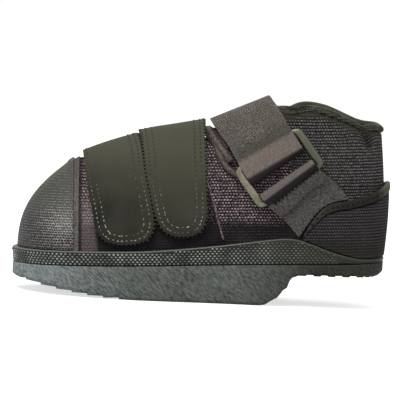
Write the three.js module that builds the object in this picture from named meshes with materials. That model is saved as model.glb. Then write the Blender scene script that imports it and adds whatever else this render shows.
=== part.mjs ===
// Heel-relief post-operative shoe, left foot, in millimetres, +Z up, toe towards -X, outer side towards -Y.
// The last, and all that is sewn on it, is drawn level and then tipped forward by the angle of the wedge,
// so that the flat of the sole lies on the floor and the heel shelf hangs clear of it.
import * as THREE from 'three';
import { mergeVertices } from 'three/addons/utils/BufferGeometryUtils.js';

// Driving sizes of the last and the upper
const LAST_LENGTH = 281;
const BALL_WIDTH = 101.5;
const TOE_HEIGHT = 80.5;
const INSTEP_HEIGHT = 117;
const HEEL_HEIGHT = 101;
const UPPER_WALL = 2.6;
const CLEARANCE = 0.3;
const LAID_GAP = 0.8;

// Driving sizes of the sole
const WEDGE_ANGLE = 3.13;
const WEDGE_DEPTH = 28.7;
const TOE_SPRING = 11.5;
const SHELF_CLEARANCE = 24;
const SOLE_CHAMFER = 2.4;
const SOLE_TAPER = 0.9;
const TREAD_PITCH = 12;
const TREAD_DEPTH = 1.3;
const HEEL_RIB_PITCH = 11;
const HEEL_RIB_DEPTH = 0.9;
const CUP_FLOOR = 3;
const CUP_WALL = 2.9;
const LIP_HEIGHT = 2.7;
const LIP_STEP = 0.7;
const RAND_HEIGHT = 11.2;
const INSOLE_THICKNESS = 5;

// Driving sizes of the soft pieces and the ring
const TONGUE_THICKNESS = 4;
const CAP_THICKNESS = 1;
const HEM_THICKNESS = 1.9;
const HEM_WIDTH = 4;
const COLLAR_ROLL_HEIGHT = 5.6;
const COLLAR_ROLL_WIDTH = 6.4;
const FLAP_THICKNESS = 3.5;
const FLAP_END_RADIUS = 15;
const FLAP_GIRTH = 165;
const PAD_THICKNESS = 2.2;
const PAD_ROLL_THICKNESS = 5.2;
const PAD_ROLL_WIDTH = 7.5;
const PAD_ROLL_END = 5;
const WEBBING_WIDTH = 48;
const WEBBING_THICKNESS = 1.9;
const PAD_END_RUN = 17;
const INSTEP_RUN = 52;
const ANCHOR_RUN = 34;
const STRAP_END_MARGIN = 9;
const ANCHOR_END_MARGIN = 1.2;
const RING_BAR = 4;
const RING_DEPTH = 34;
const RING_CORNER = 3.5;
const RING_LIFT = 6.4;
const STRAP_LOOP_SLACK = 4;
const ANCHOR_LOOP_SLACK = 1.2;
const ANCHOR_TURN_BACK = 13;
const COUNTER_THICKNESS = 3.6;
const BINDING_THICKNESS = 4.3;
const BINDING_WIDTH = 6.5;

const RING_LENGTH = WEBBING_WIDTH + 2 * RING_CORNER + CLEARANCE;
const FORM_FOOT = CUP_FLOOR + CLEARANCE;
const TILT = THREE.MathUtils.degToRad(WEDGE_ANGLE);
const WEDGE_LIFT = WEDGE_DEPTH * Math.cos(TILT);

// Stations of the last from the toe tip to the back of the heel, one row for each meridian.
// at: share of the length from the toe. outer, inner: half widths as shares of the ball width.
// crestAt: share of the length where the meridian meets the top. crest: its height as a share of the height
// named by "by". open: half width of the collar there, as a share of the ball width.
// rise, flare: how far the side stands up and leans out, as shares of the crest height and the ball width.
// arrive: length of the run into the top, as a share of the ball width. inX, inY, inZ: its direction, with
// inY towards the middle. throat: share of the meridian that the upper covers. lip: height of the cup's lip,
// as a share of the rand height. guard: thickness of the cup's wall, as a share of its usual thickness.
const STATIONS = [
  { at: 0.006, outer: -0.049, inner: 0.049, crestAt: 0.176, crest: 1.000, by: 'toe', open: 0, rise: 0.48,
    flare: 0.024, arrive: 0.40, inX: 0.84, inY: 0.00, inZ: 0.54, throat: 0.965, lip: 1.02, guard: 1.62 },
  { at: 0.022, outer: 0.150, inner: 0.246, crestAt: 0.176, crest: 1.000, by: 'toe', open: 0, rise: 0.47,
    flare: 0.026, arrive: 0.38, inX: 0.76, inY: 0.44, inZ: 0.48, throat: 0.96, lip: 1.01, guard: 1.45 },
  { at: 0.062, outer: 0.308, inner: 0.369, crestAt: 0.176, crest: 1.000, by: 'toe', open: 0, rise: 0.46,
    flare: 0.030, arrive: 0.34, inX: 0.55, inY: 0.76, inZ: 0.34, throat: 0.95, lip: 1.00, guard: 1.22 },
  { at: 0.112, outer: 0.405, inner: 0.434, crestAt: 0.176, crest: 1.000, by: 'toe', open: 0, rise: 0.46,
    flare: 0.034, arrive: 0.31, inX: 0.26, inY: 0.95, inZ: 0.16, throat: 0.93, lip: 1.00, guard: 1.15 },
  { at: 0.176, outer: 0.464, inner: 0.479, crestAt: 0.176, crest: 1.000, by: 'toe', open: 0, rise: 0.47,
    flare: 0.038, arrive: 0.30, inX: 0.00, inY: 1.00, inZ: 0.00, throat: 0.88, lip: 1.00, guard: 1.00 },
  { at: 0.253, outer: 0.503, inner: 0.495, crestAt: 0.253, crest: 0.747, by: 'instep', open: 0, rise: 0.48,
    flare: 0.042, arrive: 0.28, inX: 0.00, inY: 1.00, inZ: 0.00, throat: 0.81, lip: 1.00, guard: 1.00 },
  { at: 0.352, outer: 0.498, inner: 0.464, crestAt: 0.352, crest: 0.818, by: 'instep', open: 0, rise: 0.48,
    flare: 0.042, arrive: 0.26, inX: 0.00, inY: 1.00, inZ: 0.00, throat: 0.79, lip: 1.01, guard: 1.00 },
  { at: 0.456, outer: 0.448, inner: 0.406, crestAt: 0.456, crest: 0.833, by: 'instep', open: 0, rise: 0.50,
    flare: 0.040, arrive: 0.24, inX: 0.00, inY: 1.00, inZ: 0.00, throat: 0.79, lip: 1.15, guard: 1.00 },
  { at: 0.559, outer: 0.400, inner: 0.365, crestAt: 0.559, crest: 0.860, by: 'instep', open: 0, rise: 0.50,
    flare: 0.034, arrive: 0.23, inX: 0.00, inY: 1.00, inZ: 0.00, throat: 0.80, lip: 1.34, guard: 1.00 },
  { at: 0.662, outer: 0.376, inner: 0.351, crestAt: 0.690, crest: 1.026, by: 'instep', open: 0, rise: 0.46,
    flare: 0.028, arrive: 0.21, inX: 0.00, inY: 1.00, inZ: 0.10, throat: 0.93, lip: 1.62, guard: 1.00 },
  { at: 0.758, outer: 0.370, inner: 0.358, crestAt: 0.780, crest: 0.998, by: 'instep', open: 0.27, rise: 0.42,
    flare: 0.016, arrive: 0.34, inX: 0.00, inY: 0.34, inZ: 0.94, throat: 1.00, lip: 1.79, guard: 1.00 },
  { at: 0.850, outer: 0.368, inner: 0.369, crestAt: 0.852, crest: 0.954, by: 'instep', open: 0.305, rise: 0.40,
    flare: 0.014, arrive: 0.36, inX: 0.00, inY: 0.14, inZ: 0.99, throat: 1.00, lip: 0.90, guard: 1.00 },
  { at: 0.930, outer: 0.318, inner: 0.332, crestAt: 0.935, crest: 1.002, by: 'heel', open: 0.27, rise: 0.42,
    flare: 0.034, arrive: 0.36, inX: -0.03, inY: 0.10, inZ: 1.00, throat: 1.00, lip: 0.31, guard: 1.00 },
  { at: 0.976, outer: 0.187, inner: 0.207, crestAt: 0.983, crest: 0.985, by: 'heel', open: 0.16, rise: 0.42,
    flare: 0.048, arrive: 0.36, inX: -0.06, inY: 0.05, inZ: 1.00, throat: 1.00, lip: 0.30, guard: 1.00 },
  { at: 0.990, outer: -0.010, inner: 0.010, crestAt: 0.997, crest: 0.962, by: 'heel', open: 0, rise: 0.42,
    flare: 0.055, arrive: 0.36, inX: -0.07, inY: 0.00, inZ: 1.00, throat: 1.00, lip: 0.30, guard: 1.00 },
];
const HEEL_ROW = STATIONS.length - 1;
const RING_ROWS = 2 * HEEL_ROW;
const HEIGHT_OF = { toe: TOE_HEIGHT, instep: INSTEP_HEIGHT, heel: HEEL_HEIGHT };

// The rows run up the outer side to the heel and back down the inner side, so each is one closed turn.
function rowAt(index) {
  const turn = ((index % RING_ROWS) + RING_ROWS) % RING_ROWS;
  const isOuter = turn <= HEEL_ROW;
  const row = STATIONS[isOuter ? turn : RING_ROWS - turn];
  const side = isOuter ? -1 : 1;
  return {
    x: LAST_LENGTH * (row.at - 0.5),
    y: side * BALL_WIDTH * (isOuter ? row.outer : row.inner),
    crestX: LAST_LENGTH * (row.crestAt - 0.5),
    crestY: side * BALL_WIDTH * row.open,
    crestZ: HEIGHT_OF[row.by] * row.crest,
    rise: HEIGHT_OF[row.by] * row.crest * row.rise,
    flare: BALL_WIDTH * row.flare,
    arrive: BALL_WIDTH * row.arrive,
    inX: row.inX,
    inY: -side * row.inY,
    inZ: row.inZ,
    throat: row.throat,
    lip: RAND_HEIGHT * row.lip,
    guard: CUP_WALL * row.guard,
  };
}
const ROWS = Array.from({ length: RING_ROWS }, (_, index) => rowAt(index));

// A smooth value between the rows, by a uniform cubic through them.
function between(turn, column) {
  const whole = Math.floor(turn);
  const f = turn - whole;
  const [a, b, c, d] = [-1, 0, 1, 2].map((step) => ROWS[(whole + step + RING_ROWS) % RING_ROWS][column]);
  return 0.5 * (2 * b + (c - a) * f + (2 * a - 5 * b + 4 * c - d) * f * f + (3 * b - a - 3 * c + d) * f * f * f);
}

function footOutline(turn) {
  return new THREE.Vector3(between(turn, 'x'), between(turn, 'y'), FORM_FOOT);
}

function outwardOf(turn) {
  const step = 0.02;
  const along = footOutline(turn + step).sub(footOutline(turn - step));
  return new THREE.Vector3(along.y, -along.x, 0).normalize();
}

// The form of the last: turn goes round it, rise from 0 at the sole to 1 at the crest or the collar.
function formPoint(turn, rise) {
  const foot = footOutline(turn);
  const shoulder = foot.clone().addScaledVector(outwardOf(turn), between(turn, 'flare'));
  shoulder.z += between(turn, 'rise');
  const openSide = turn % RING_ROWS > HEEL_ROW ? 1 : -1;
  const open = openSide * Math.max(0, openSide * between(turn, 'crestY'));
  const crest = new THREE.Vector3(between(turn, 'crestX'), open, between(turn, 'crestZ'));
  const into = new THREE.Vector3(between(turn, 'inX'), between(turn, 'inY'), between(turn, 'inZ')).normalize();
  const brow = crest.clone().addScaledVector(into, -between(turn, 'arrive'));
  const left = 1 - rise;
  return foot.multiplyScalar(left ** 3)
    .addScaledVector(shoulder, 3 * left * left * rise)
    .addScaledVector(brow, 3 * left * rise * rise)
    .addScaledVector(crest, rise ** 3);
}

function formNormal(turn, rise) {
  const step = 0.004;
  const high = Math.min(1, rise + step);
  const low = Math.max(0, rise - step);
  const round = formPoint(turn + 4 * step, rise).sub(formPoint(turn - 4 * step, rise));
  const up = formPoint(turn, high).sub(formPoint(turn, low));
  return round.cross(up).normalize();
}

function onForm(turn, rise, offset) {
  return formPoint(turn, rise).addScaledVector(formNormal(turn, rise), offset);
}

function solve(low, high, isBelow) {
  let [a, b] = [low, high];
  for (let i = 0; i < 26; i += 1) {
    const middle = (a + b) / 2;
    if (isBelow(middle)) a = middle;
    else b = middle;
  }
  return (a + b) / 2;
}

function riseAtHeight(turn, z) {
  return solve(0, 1, (rise) => formPoint(turn, rise).z < z);
}

// Turn at which a meridian point lies on the tilted plane x + lean * z = place, on one side of the shoe.
function turnAtPlane(side, rise, lean, place) {
  const turnOf = (way) => (side < 0 ? way : RING_ROWS - way);
  const way = solve(0.01, HEEL_ROW - 0.01, (guess) => {
    const point = formPoint(turnOf(guess), rise);
    return point.x + lean * point.z < place;
  });
  return turnOf(way);
}

// Turn and rise of the point of one side that is seen at x, z from that side.
function placeOnSide(side, x, z) {
  const rise = solve(0, 0.98, (guess) => formPoint(turnAtPlane(side, guess, 0, x), guess).z < z);
  return { turn: turnAtPlane(side, rise, 0, x), rise };
}

const smoothstep = (share) => {
  const t = Math.min(1, Math.max(0, share));
  return t * t * (3 - 2 * t);
};
const mix = (a, b, share) => a + (b - a) * share;
const steps = (count) => Array.from({ length: count + 1 }, (_, i) => i / count);

// A value read off a short table of rows by the column "at", smooth between them.
function readTable(table, at, column) {
  const last = table.length - 1;
  const found = table.findIndex((row) => row.at > at);
  const next = found < 0 ? last : Math.max(1, found);
  const [before, after] = [table[next - 1], table[next]];
  const share = Math.min(1, Math.max(0, (at - before.at) / (after.at - before.at)));
  return mix(before[column], after[column], share);
}

// Closed bodies from quads of points. Corners that fall together make triangles, and the faces point out.
function bodyOf(quads) {
  const triangles = [];
  for (const [a, b, c, d] of quads) {
    for (const corners of [[a, b, c], [a, c, d]]) {
      const [p, q, r] = corners;
      const isFlat = p.distanceTo(q) < 1e-4 || q.distanceTo(r) < 1e-4 || r.distanceTo(p) < 1e-4;
      if (!isFlat) triangles.push(corners);
    }
  }
  const volume = triangles.reduce((sum, [p, q, r]) => sum + p.dot(q.clone().cross(r)), 0);
  const positions = triangles.flatMap(([p, q, r]) => (volume > 0 ? [p, q, r] : [p, r, q]))
    .flatMap((point) => [point.x, point.y, point.z]);
  const geometry = new THREE.BufferGeometry();
  geometry.setAttribute('position', new THREE.Float32BufferAttribute(positions, 3));
  return mergeVertices(geometry, 1e-4);
}

function joinLoops(loops, isRing) {
  const quads = [];
  const last = isRing ? loops.length : loops.length - 1;
  for (let i = 0; i < last; i += 1) {
    const [here, there] = [loops[i], loops[(i + 1) % loops.length]];
    here.forEach((point, j) => {
      const k = (j + 1) % here.length;
      quads.push([point, here[k], there[k], there[j]]);
    });
  }
  return quads;
}

// A flat cap over a loop that runs round the shoe, as strips from the outer to the inner side.
function crossStrips(loop) {
  const quads = [];
  const half = loop.length / 2;
  for (let j = 0; j < half; j += 1) {
    const [j2, back, back2] = [j + 1, (loop.length - j) % loop.length, loop.length - j - 1];
    quads.push([loop[j], loop[j2], loop[back2], loop[back]]);
  }
  return quads;
}

function fanCap(loop) {
  const centre = loop.reduce((sum, point) => sum.add(point), new THREE.Vector3()).divideScalar(loop.length);
  return loop.map((point, j) => [centre, point, loop[(j + 1) % loop.length], centre]);
}

const reversed = (quads) => quads.map(([a, b, c, d]) => [d, c, b, a]);

// A sheet with thickness: two grids of points, one for each face, closed along its four edges.
function sheetOf(over, under) {
  const quads = [];
  const rows = over.length - 1;
  const columns = over[0].length - 1;
  for (let i = 0; i < rows; i += 1) {
    for (let j = 0; j < columns; j += 1) {
      quads.push([over[i][j], over[i][j + 1], over[i + 1][j + 1], over[i + 1][j]]);
      quads.push([under[i + 1][j], under[i + 1][j + 1], under[i][j + 1], under[i][j]]);
    }
    quads.push([over[i][0], over[i + 1][0], under[i + 1][0], under[i][0]]);
    quads.push([under[i][columns], under[i + 1][columns], over[i + 1][columns], over[i][columns]]);
  }
  for (let j = 0; j < columns; j += 1) {
    quads.push([under[0][j], under[0][j + 1], over[0][j + 1], over[0][j]]);
    quads.push([over[rows][j], over[rows][j + 1], under[rows][j + 1], under[rows][j]]);
  }
  return quads;
}

function grid(rowShares, columnShares, pointAt) {
  return rowShares.map((v) => columnShares.map((u) => pointAt(v, u)));
}

// Turns round the shoe, closer together at the toe and the heel, symmetrical about the toe.
const TURN_STEPS = 32;
const ROUND = Array.from({ length: 2 * TURN_STEPS }, (_, i) => i * HEEL_ROW / TURN_STEPS);

// Outsole: one wedge with a rocker toe and tread bars, a flat, a stepped back and a thin heel shelf.
// at: share of the sole's length from the toe. clear: height of the underside above the floor, as a share
// of the toe spring ahead of the flat and of the shelf's clearance behind it.
const UNDERSIDE = [
  { at: 0.000, clear: 1.000, by: 'toe' },
  { at: 0.012, clear: 0.900, by: 'toe' },
  { at: 0.095, clear: 0.530, by: 'toe' },
  { at: 0.185, clear: 0.210, by: 'toe' },
  { at: 0.265, clear: 0.035, by: 'toe' },
  { at: 0.330, clear: 0.000, by: 'toe' },
  { at: 0.668, clear: 0.000, by: 'shelf' },
  { at: 0.684, clear: 0.035, by: 'shelf' },
  { at: 0.700, clear: 0.165, by: 'shelf' },
  { at: 0.716, clear: 0.275, by: 'shelf' },
  { at: 0.724, clear: 0.400, by: 'shelf' },
  { at: 0.731, clear: 0.525, by: 'shelf' },
  { at: 0.741, clear: 0.600, by: 'shelf' },
  { at: 0.747, clear: 0.820, by: 'shelf' },
  { at: 0.753, clear: 0.925, by: 'shelf' },
  { at: 0.770, clear: 1.005, by: 'shelf' },
  { at: 0.860, clear: 1.020, by: 'shelf' },
  { at: 0.965, clear: 1.040, by: 'shelf' },
  { at: 0.985, clear: 1.090, by: 'shelf' },
  { at: 1.000, clear: 1.210, by: 'shelf' },
].map((row) => ({ at: row.at, height: row.clear * (row.by === 'toe' ? TOE_SPRING : SHELF_CLEARANCE) }));
const TREAD_END = 0.325;
const RIBS_START = 0.79;
const RIBS_END = 0.95;

const cupOutside = (turn) => CLEARANCE + between(turn, 'guard');

function soleEdge(turn, offset) {
  return footOutline(turn).addScaledVector(outwardOf(turn), offset);
}

function soleSideAt(side, x) {
  const turnOf = (way) => (side < 0 ? way : RING_ROWS - way);
  const edge = (way) => soleEdge(turnOf(way), cupOutside(turnOf(way)));
  return edge(solve(0, HEEL_ROW, (way) => edge(way).x < x)).y;
}

function makeOutsole() {
  const tip = soleEdge(0, cupOutside(0)).x;
  const end = soleEdge(HEEL_ROW, cupOutside(HEEL_ROW)).x;
  const length = end - tip;
  const stations = [];
  const add = (x, cut) => stations.push({ x, cut });
  const roundings = [0.15, 0.9, 2.4, 4.8, 8];
  roundings.forEach((x) => add(tip + x, 0));
  for (let x = tip + TREAD_PITCH; x < tip + TREAD_END * length; x += TREAD_PITCH) {
    add(x - 0.4, TREAD_DEPTH);
    add(x, 0);
  }
  UNDERSIDE.filter((row) => row.at > TREAD_END && row.at < RIBS_START).forEach((row) => add(tip + row.at * length, 0));
  for (let i = 1; i < 4; i += 1) add(tip + length * mix(0.33, 0.66, i / 4), 0);
  for (let x = tip + RIBS_START * length; x < tip + RIBS_END * length; x += HEEL_RIB_PITCH) {
    add(x, 0);
    add(x + 0.5, HEEL_RIB_DEPTH);
    add(x + HEEL_RIB_PITCH / 2, HEEL_RIB_DEPTH);
    add(x + HEEL_RIB_PITCH / 2 + 0.5, 0);
  }
  [14, 11, ...roundings.toReversed()].forEach((x) => add(end - x, 0));
  stations.sort((a, b) => a.x - b.x);
  const sections = stations.map(({ x, cut }) => {
    const top = x * Math.sin(TILT) - CLEARANCE + WEDGE_LIFT;
    const bottom = Math.min(top - 4, readTable(UNDERSIDE, (x - tip) / length, 'height') + cut);
    const [outer, inner] = [soleSideAt(-1, x / Math.cos(TILT)), soleSideAt(1, x / Math.cos(TILT))];
    const middle = (outer + inner) / 2;
    const room = Math.min(1, (inner - outer) / 30);
    const point = (y, narrow, z) => new THREE.Vector3(x, y + Math.sign(middle - y) * narrow * room, z);
    const chamfer = Math.min(SOLE_CHAMFER, (top - bottom) / 3);
    return [
      point(outer, 0, top), point(outer, 0, top - 1.5), point(outer, SOLE_TAPER, bottom + chamfer),
      point(outer, SOLE_TAPER + chamfer, bottom), point(inner, SOLE_TAPER + chamfer, bottom),
      point(inner, SOLE_TAPER, bottom + chamfer), point(inner, 0, top - 1.5), point(inner, 0, top),
    ];
  });
  return bodyOf([...joinLoops(sections, false), ...reversed(fanCap(sections[0])), ...fanCap(sections.at(-1))]);
}

// Cup: the moulded floor and rand that the upper is lasted into, with a rolled lip along its top.
const lipTop = (turn) => Math.max(CUP_FLOOR + 0.4, between(turn, 'lip'));

function makeCup() {
  const hug = (turn, z, offset) => {
    const seat = onForm(turn, riseAtHeight(turn, Math.max(FORM_FOOT, z)), offset);
    return new THREE.Vector3(seat.x, seat.y, z);
  };
  const loops = [
    ROUND.map((turn) => soleEdge(turn, cupOutside(turn)).setZ(0)),
    ROUND.map((turn) => hug(turn, Math.max(1.2, lipTop(turn) - LIP_HEIGHT - 0.5), cupOutside(turn))),
    ROUND.map((turn) => hug(turn, Math.max(1.4, lipTop(turn) - LIP_HEIGHT), cupOutside(turn) + LIP_STEP)),
    ROUND.map((turn) => hug(turn, lipTop(turn) - 0.8, cupOutside(turn) + LIP_STEP)),
    ROUND.map((turn) => hug(turn, lipTop(turn), cupOutside(turn) - 0.3)),
    ROUND.map((turn) => hug(turn, lipTop(turn), CLEARANCE + 0.7)),
    ROUND.map((turn) => hug(turn, lipTop(turn) - 0.3, CLEARANCE)),
    ROUND.map((turn) => hug(turn, mix(CUP_FLOOR, lipTop(turn), 0.45), CLEARANCE)),
    ROUND.map((turn) => hug(turn, CUP_FLOOR, CLEARANCE)),
  ];
  return bodyOf([...joinLoops(loops, false), ...reversed(crossStrips(loops[0])), ...crossStrips(loops.at(-1))]);
}

function makeInsole() {
  const inside = -(UPPER_WALL + CLEARANCE);
  const loopAt = (z, inset) => ROUND.map((turn) => {
    const seat = onForm(turn, riseAtHeight(turn, z), inside - inset);
    return new THREE.Vector3(seat.x, seat.y, z);
  });
  const top = FORM_FOOT + INSOLE_THICKNESS;
  const loops = [loopAt(FORM_FOOT, 0.4), loopAt(FORM_FOOT + 1, 0), loopAt(top - 1, 0), loopAt(top, 0.8)];
  return bodyOf([...joinLoops(loops, false), ...reversed(crossStrips(loops[0])), ...crossStrips(loops.at(-1))]);
}

// Upper: one hollow wall from the cup's floor to the collar, open at the throat, the collar and underneath.
const throatAt = (turn) => Math.min(1, between(turn, 'throat'));

function makeUpper() {
  const rises = [0, 0.06, 0.15, 0.26, 0.38, 0.51, 0.64, 0.77, 0.89, 1];
  const skin = (offset, shares) => shares.map((share) => ROUND.map((turn) => (
    onForm(turn, share * throatAt(turn), offset))));
  const outside = skin(0, rises);
  const inside = skin(-UPPER_WALL, rises).reverse();
  inside.at(-1).forEach((point, j) => point.setZ(outside[0][j].z));
  return bodyOf(joinLoops([...outside, ...inside], true));
}

// Toe cap: open mesh over the toe, with a folded hem along its rear edge.
const CAP_END = 0.160;

function makeToeCap() {
  const rear = LAST_LENGTH * (CAP_END - 0.5);
  const crestRise = solve(0, 0.99, (rise) => formPoint(0, rise).x < rear);
  const edgeOf = (turn) => riseAtHeight(turn, lipTop(turn) + 2 * CLEARANCE);
  const cornerOf = (side) => turnAtPlane(side, edgeOf(turnAtPlane(side, 0.05, 0, rear)), 0, rear);
  const corners = { outer: cornerOf(-1), inner: cornerOf(1) };
  const shares = [0.14, 0.29, 0.44, 0.58, 0.72, 0.86, 1];
  const columnOf = (across, offsetOf) => {
    const side = across < 0 ? -1 : 1;
    const corner = side < 0 ? corners.outer : corners.inner;
    const foot = side < 0 ? corner * -across : RING_ROWS - (RING_ROWS - corner) * across;
    const start = mix(crestRise, edgeOf(corner), across * across);
    const hem = Math.abs(across) < 0.001 ? foot : turnAtPlane(side, start, 0, rear);
    const placeAt = (share) => [mix(hem, foot, share), mix(start, edgeOf(foot % RING_ROWS), share)];
    const span = formPoint(...placeAt(0)).distanceTo(formPoint(...placeAt(1)));
    const hemShare = Math.min(0.45, HEM_WIDTH / Math.max(span, 1));
    const step = Math.min(0.1, 0.6 / Math.max(span, 1));
    const rows = [0, hemShare, hemShare + step, ...shares.map((share) => mix(hemShare + step, 1, share))];
    return rows.map((share, i) => onForm(...placeAt(share), offsetOf(i)));
  };
  const columns = steps(22).map((share) => 2 * share - 1);
  const over = columns.map((across) => columnOf(across, (i) => LAID_GAP + (i < 2 ? HEM_THICKNESS : CAP_THICKNESS)));
  const under = columns.map((across) => columnOf(across, () => LAID_GAP));
  return bodyOf(sheetOf(over, under));
}

// Tongue: a padded sheet under the throat, from the toe cap to the front of the collar.
const TONGUE_FRONT = 0.185;
const TONGUE_REAR = 0.700;
const TONGUE_REACH = 0.34;

function makeTongue() {
  const across = steps(14).map((share) => 2 * share - 1);
  const along = steps(12);
  const face = (depth) => grid(along, across, (v, u) => {
    const rise = 1 - TONGUE_REACH * Math.abs(u);
    const x = LAST_LENGTH * (mix(TONGUE_FRONT, TONGUE_REAR, v) - 0.5);
    const turn = turnAtPlane(u < 0 ? -1 : 1, Math.min(rise, 0.999), 0, x);
    return onForm(turn, Math.min(rise, 0.999), -(UPPER_WALL + LAID_GAP + depth));
  });
  return bodyOf(sheetOf(face(0), face(TONGUE_THICKNESS)));
}

// Collar: a soft roll sewn along the top of the quarters, from one side of the throat round the heel.
function makeCollar() {
  const start = 9.62;
  const turns = steps(38).map((share) => mix(start, RING_ROWS - start, share));
  const loops = turns.map((turn) => {
    const base = onForm(turn, throatAt(turn), -UPPER_WALL / 2);
    const inward = formNormal(turn, throatAt(turn)).negate().setZ(0).normalize();
    const end = Math.min(turn - start, RING_ROWS - start - turn);
    const size = 0.72 + 0.28 * smoothstep(end / 0.4);
    return Array.from({ length: 8 }, (_, i) => {
      const angle = (i + 0.5) * Math.PI / 4;
      const lift = 3 * CLEARANCE + COLLAR_ROLL_HEIGHT * size * (0.5 - 0.5 * Math.cos(angle) / Math.cos(Math.PI / 8));
      return base.clone().addScaledVector(inward, COLLAR_ROLL_WIDTH * size / 2 * Math.sin(angle))
        .add(new THREE.Vector3(0, 0, lift));
    });
  });
  return bodyOf([...joinLoops(loops, false), ...reversed(fanCap(loops[0])), ...fanCap(loops.at(-1))]);
}

// Two forefoot straps: stiff pads that start at the sole on the inner side, cross the throat and end free,
// rounded, on the outer side. front, rear: share of the length at three levels of the rise.
const FLAP_LEVELS = [1, 0.5, 0.12];
const FLAPS = {
  front: { front: [0.177, 0.180, 0.222], rear: [0.322, 0.345, 0.382], end: 0.100, stand: [1.4, 1.6] },
  rear: { front: [0.349, 0.359, 0.390], rear: [0.512, 0.514, 0.520], end: 0.130, stand: [2.2, 8.0] },
};

function levelShare(values, rise) {
  const [top, side, low] = FLAP_LEVELS;
  return rise > side
    ? mix(values[1], values[0], (rise - side) / (top - side))
    : mix(values[2], values[1], (rise - low) / (side - low));
}

function makeFlap(flap) {
  const across = steps(5);
  const outerEnd = [0, 0.012, 0.03, 0.055, 0.09];
  const along = [...outerEnd, ...steps(18).slice(1).map((share) => mix(0.09, 1, share))];
  const face = (depth) => grid(along, across, (v, u) => {
    const lowest = v < 0.5 ? flap.end : 0.095;
    const rise = Math.min(0.999, 1 - (1 - lowest) * Math.abs(1 - 2 * v));
    const side = v < 0.5 ? -1 : 1;
    const fromEnd = Math.min(1, v * FLAP_GIRTH / FLAP_END_RADIUS);
    const narrow = 1 - Math.sqrt(1 - (1 - fromEnd) ** 2.4);
    const share = 0.5 + (u - 0.5) * (1 - 0.72 * narrow);
    const x = LAST_LENGTH * (mix(levelShare(flap.front, rise), levelShare(flap.rear, rise), share) - 0.5);
    const lift = mix(flap.stand[0], flap.stand[1], u) * smoothstep((rise - 0.55) / 0.45);
    return onForm(turnAtPlane(side, rise, 0, x), rise, CLEARANCE + depth + lift);
  });
  return bodyOf(sheetOf(face(FLAP_THICKNESS), face(0)));
}

// Ring and webbing. The run of the webbing is tilted: it goes down and back from the instep.
const RUN = { x: 0.57, z: 0.82 };
const RING_AT = 0.717;
const RING_HIGH = 0.622;

function ringFrame() {
  const [x, z] = [LAST_LENGTH * (RING_AT - 0.5), INSTEP_HEIGHT * RING_HIGH];
  const [front, low, rear, high] = [[-1, -1], [-1, 1], [1, 1], [1, -1]].map(([a, d]) => {
    const along = a * RING_LENGTH / 2;
    const down = d * RING_DEPTH / 2;
    const { turn, rise } = placeOnSide(-1, x + along * RUN.z + down * RUN.x, z + along * RUN.x - down * RUN.z);
    return formPoint(turn, rise);
  });
  const normal = rear.clone().sub(front).cross(high.clone().sub(low)).normalize();
  if (normal.y > 0) normal.negate();
  const centre = front.clone().add(low).add(rear).add(high).divideScalar(4).addScaledVector(normal, RING_LIFT);
  const along = new THREE.Vector3(RUN.z, 0, RUN.x);
  along.addScaledVector(normal, -along.dot(normal)).normalize();
  const down = new THREE.Vector3().crossVectors(normal, along).normalize();
  if (down.z > 0) down.negate();
  return { centre, normal, along, down };
}
const RING = ringFrame();

function makeRing() {
  const [halfLong, halfDeep] = [RING_LENGTH / 2, RING_DEPTH / 2];
  const path = [];
  [[1, 1], [-1, 1], [-1, -1], [1, -1]].forEach(([a, d], corner) => {
    for (let i = 0; i <= 4; i += 1) {
      const angle = (corner + i / 4) * Math.PI / 2;
      path.push({
        along: a * (halfLong - RING_CORNER) + RING_CORNER * Math.cos(angle),
        down: d * (halfDeep - RING_CORNER) + RING_CORNER * Math.sin(angle),
        angle,
      });
    }
  });
  const loops = path.map(({ along, down, angle }) => Array.from({ length: 8 }, (_, i) => {
    const turn = (i + 0.5) * Math.PI / 4;
    const out = RING_BAR / 2 * Math.cos(turn);
    return RING.centre.clone()
      .addScaledVector(RING.along, along + out * Math.cos(angle))
      .addScaledVector(RING.down, down + out * Math.sin(angle))
      .addScaledVector(RING.normal, RING_BAR / 2 * Math.sin(turn));
  }));
  return bodyOf(joinLoops(loops, true));
}

// The place across the webbing, as the value of x + lean * z that keeps it on the run of the strap.
const STRAP_LEAN = 0.8;
const STRAP_SET_BACK = 3;
const planeOf = (across) => {
  const middle = RING.centre.x + STRAP_LEAN * RING.centre.z + STRAP_SET_BACK;
  return middle + (across - 0.5) * WEBBING_WIDTH * Math.hypot(1, STRAP_LEAN);
};
const barPoint = (end, across, run, lift) => RING.centre.clone()
  .addScaledVector(RING.down, end * RING_DEPTH / 2 + run)
  .addScaledVector(RING.along, (across - 0.5) * WEBBING_WIDTH)
  .addScaledVector(RING.normal, lift);
const barReach = RING_BAR / 2 + CLEARANCE;

// Counter edge in side view: at: share of the length, top: share of the heel height.
const COUNTER_TOP = [
  { at: 0.772, top: 0.150 },
  { at: 0.778, top: 0.215 },
  { at: 0.790, top: 0.290 },
  { at: 0.820, top: 0.405 },
  { at: 0.850, top: 0.462 },
  { at: 0.905, top: 0.482 },
  { at: 0.955, top: 0.525 },
  { at: 0.985, top: 0.580 },
  { at: 1.000, top: 0.655 },
];
const counterTop = (x) => {
  const at = x / LAST_LENGTH + 0.5;
  return at < COUNTER_TOP[0].at ? 0 : HEEL_HEIGHT * readTable(COUNTER_TOP, at, 'top');
};

// Lowest rise that the webbing reaches on one side, just clear of the counter and the lip of the cup.
function webbingEnd(side, across, margin) {
  return solve(0, 0.8, (rise) => {
    const turn = turnAtPlane(side, rise, STRAP_LEAN, planeOf(across));
    const point = formPoint(turn, rise);
    return point.z < Math.max(counterTop(point.x), lipTop(turn)) + margin;
  });
}

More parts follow.
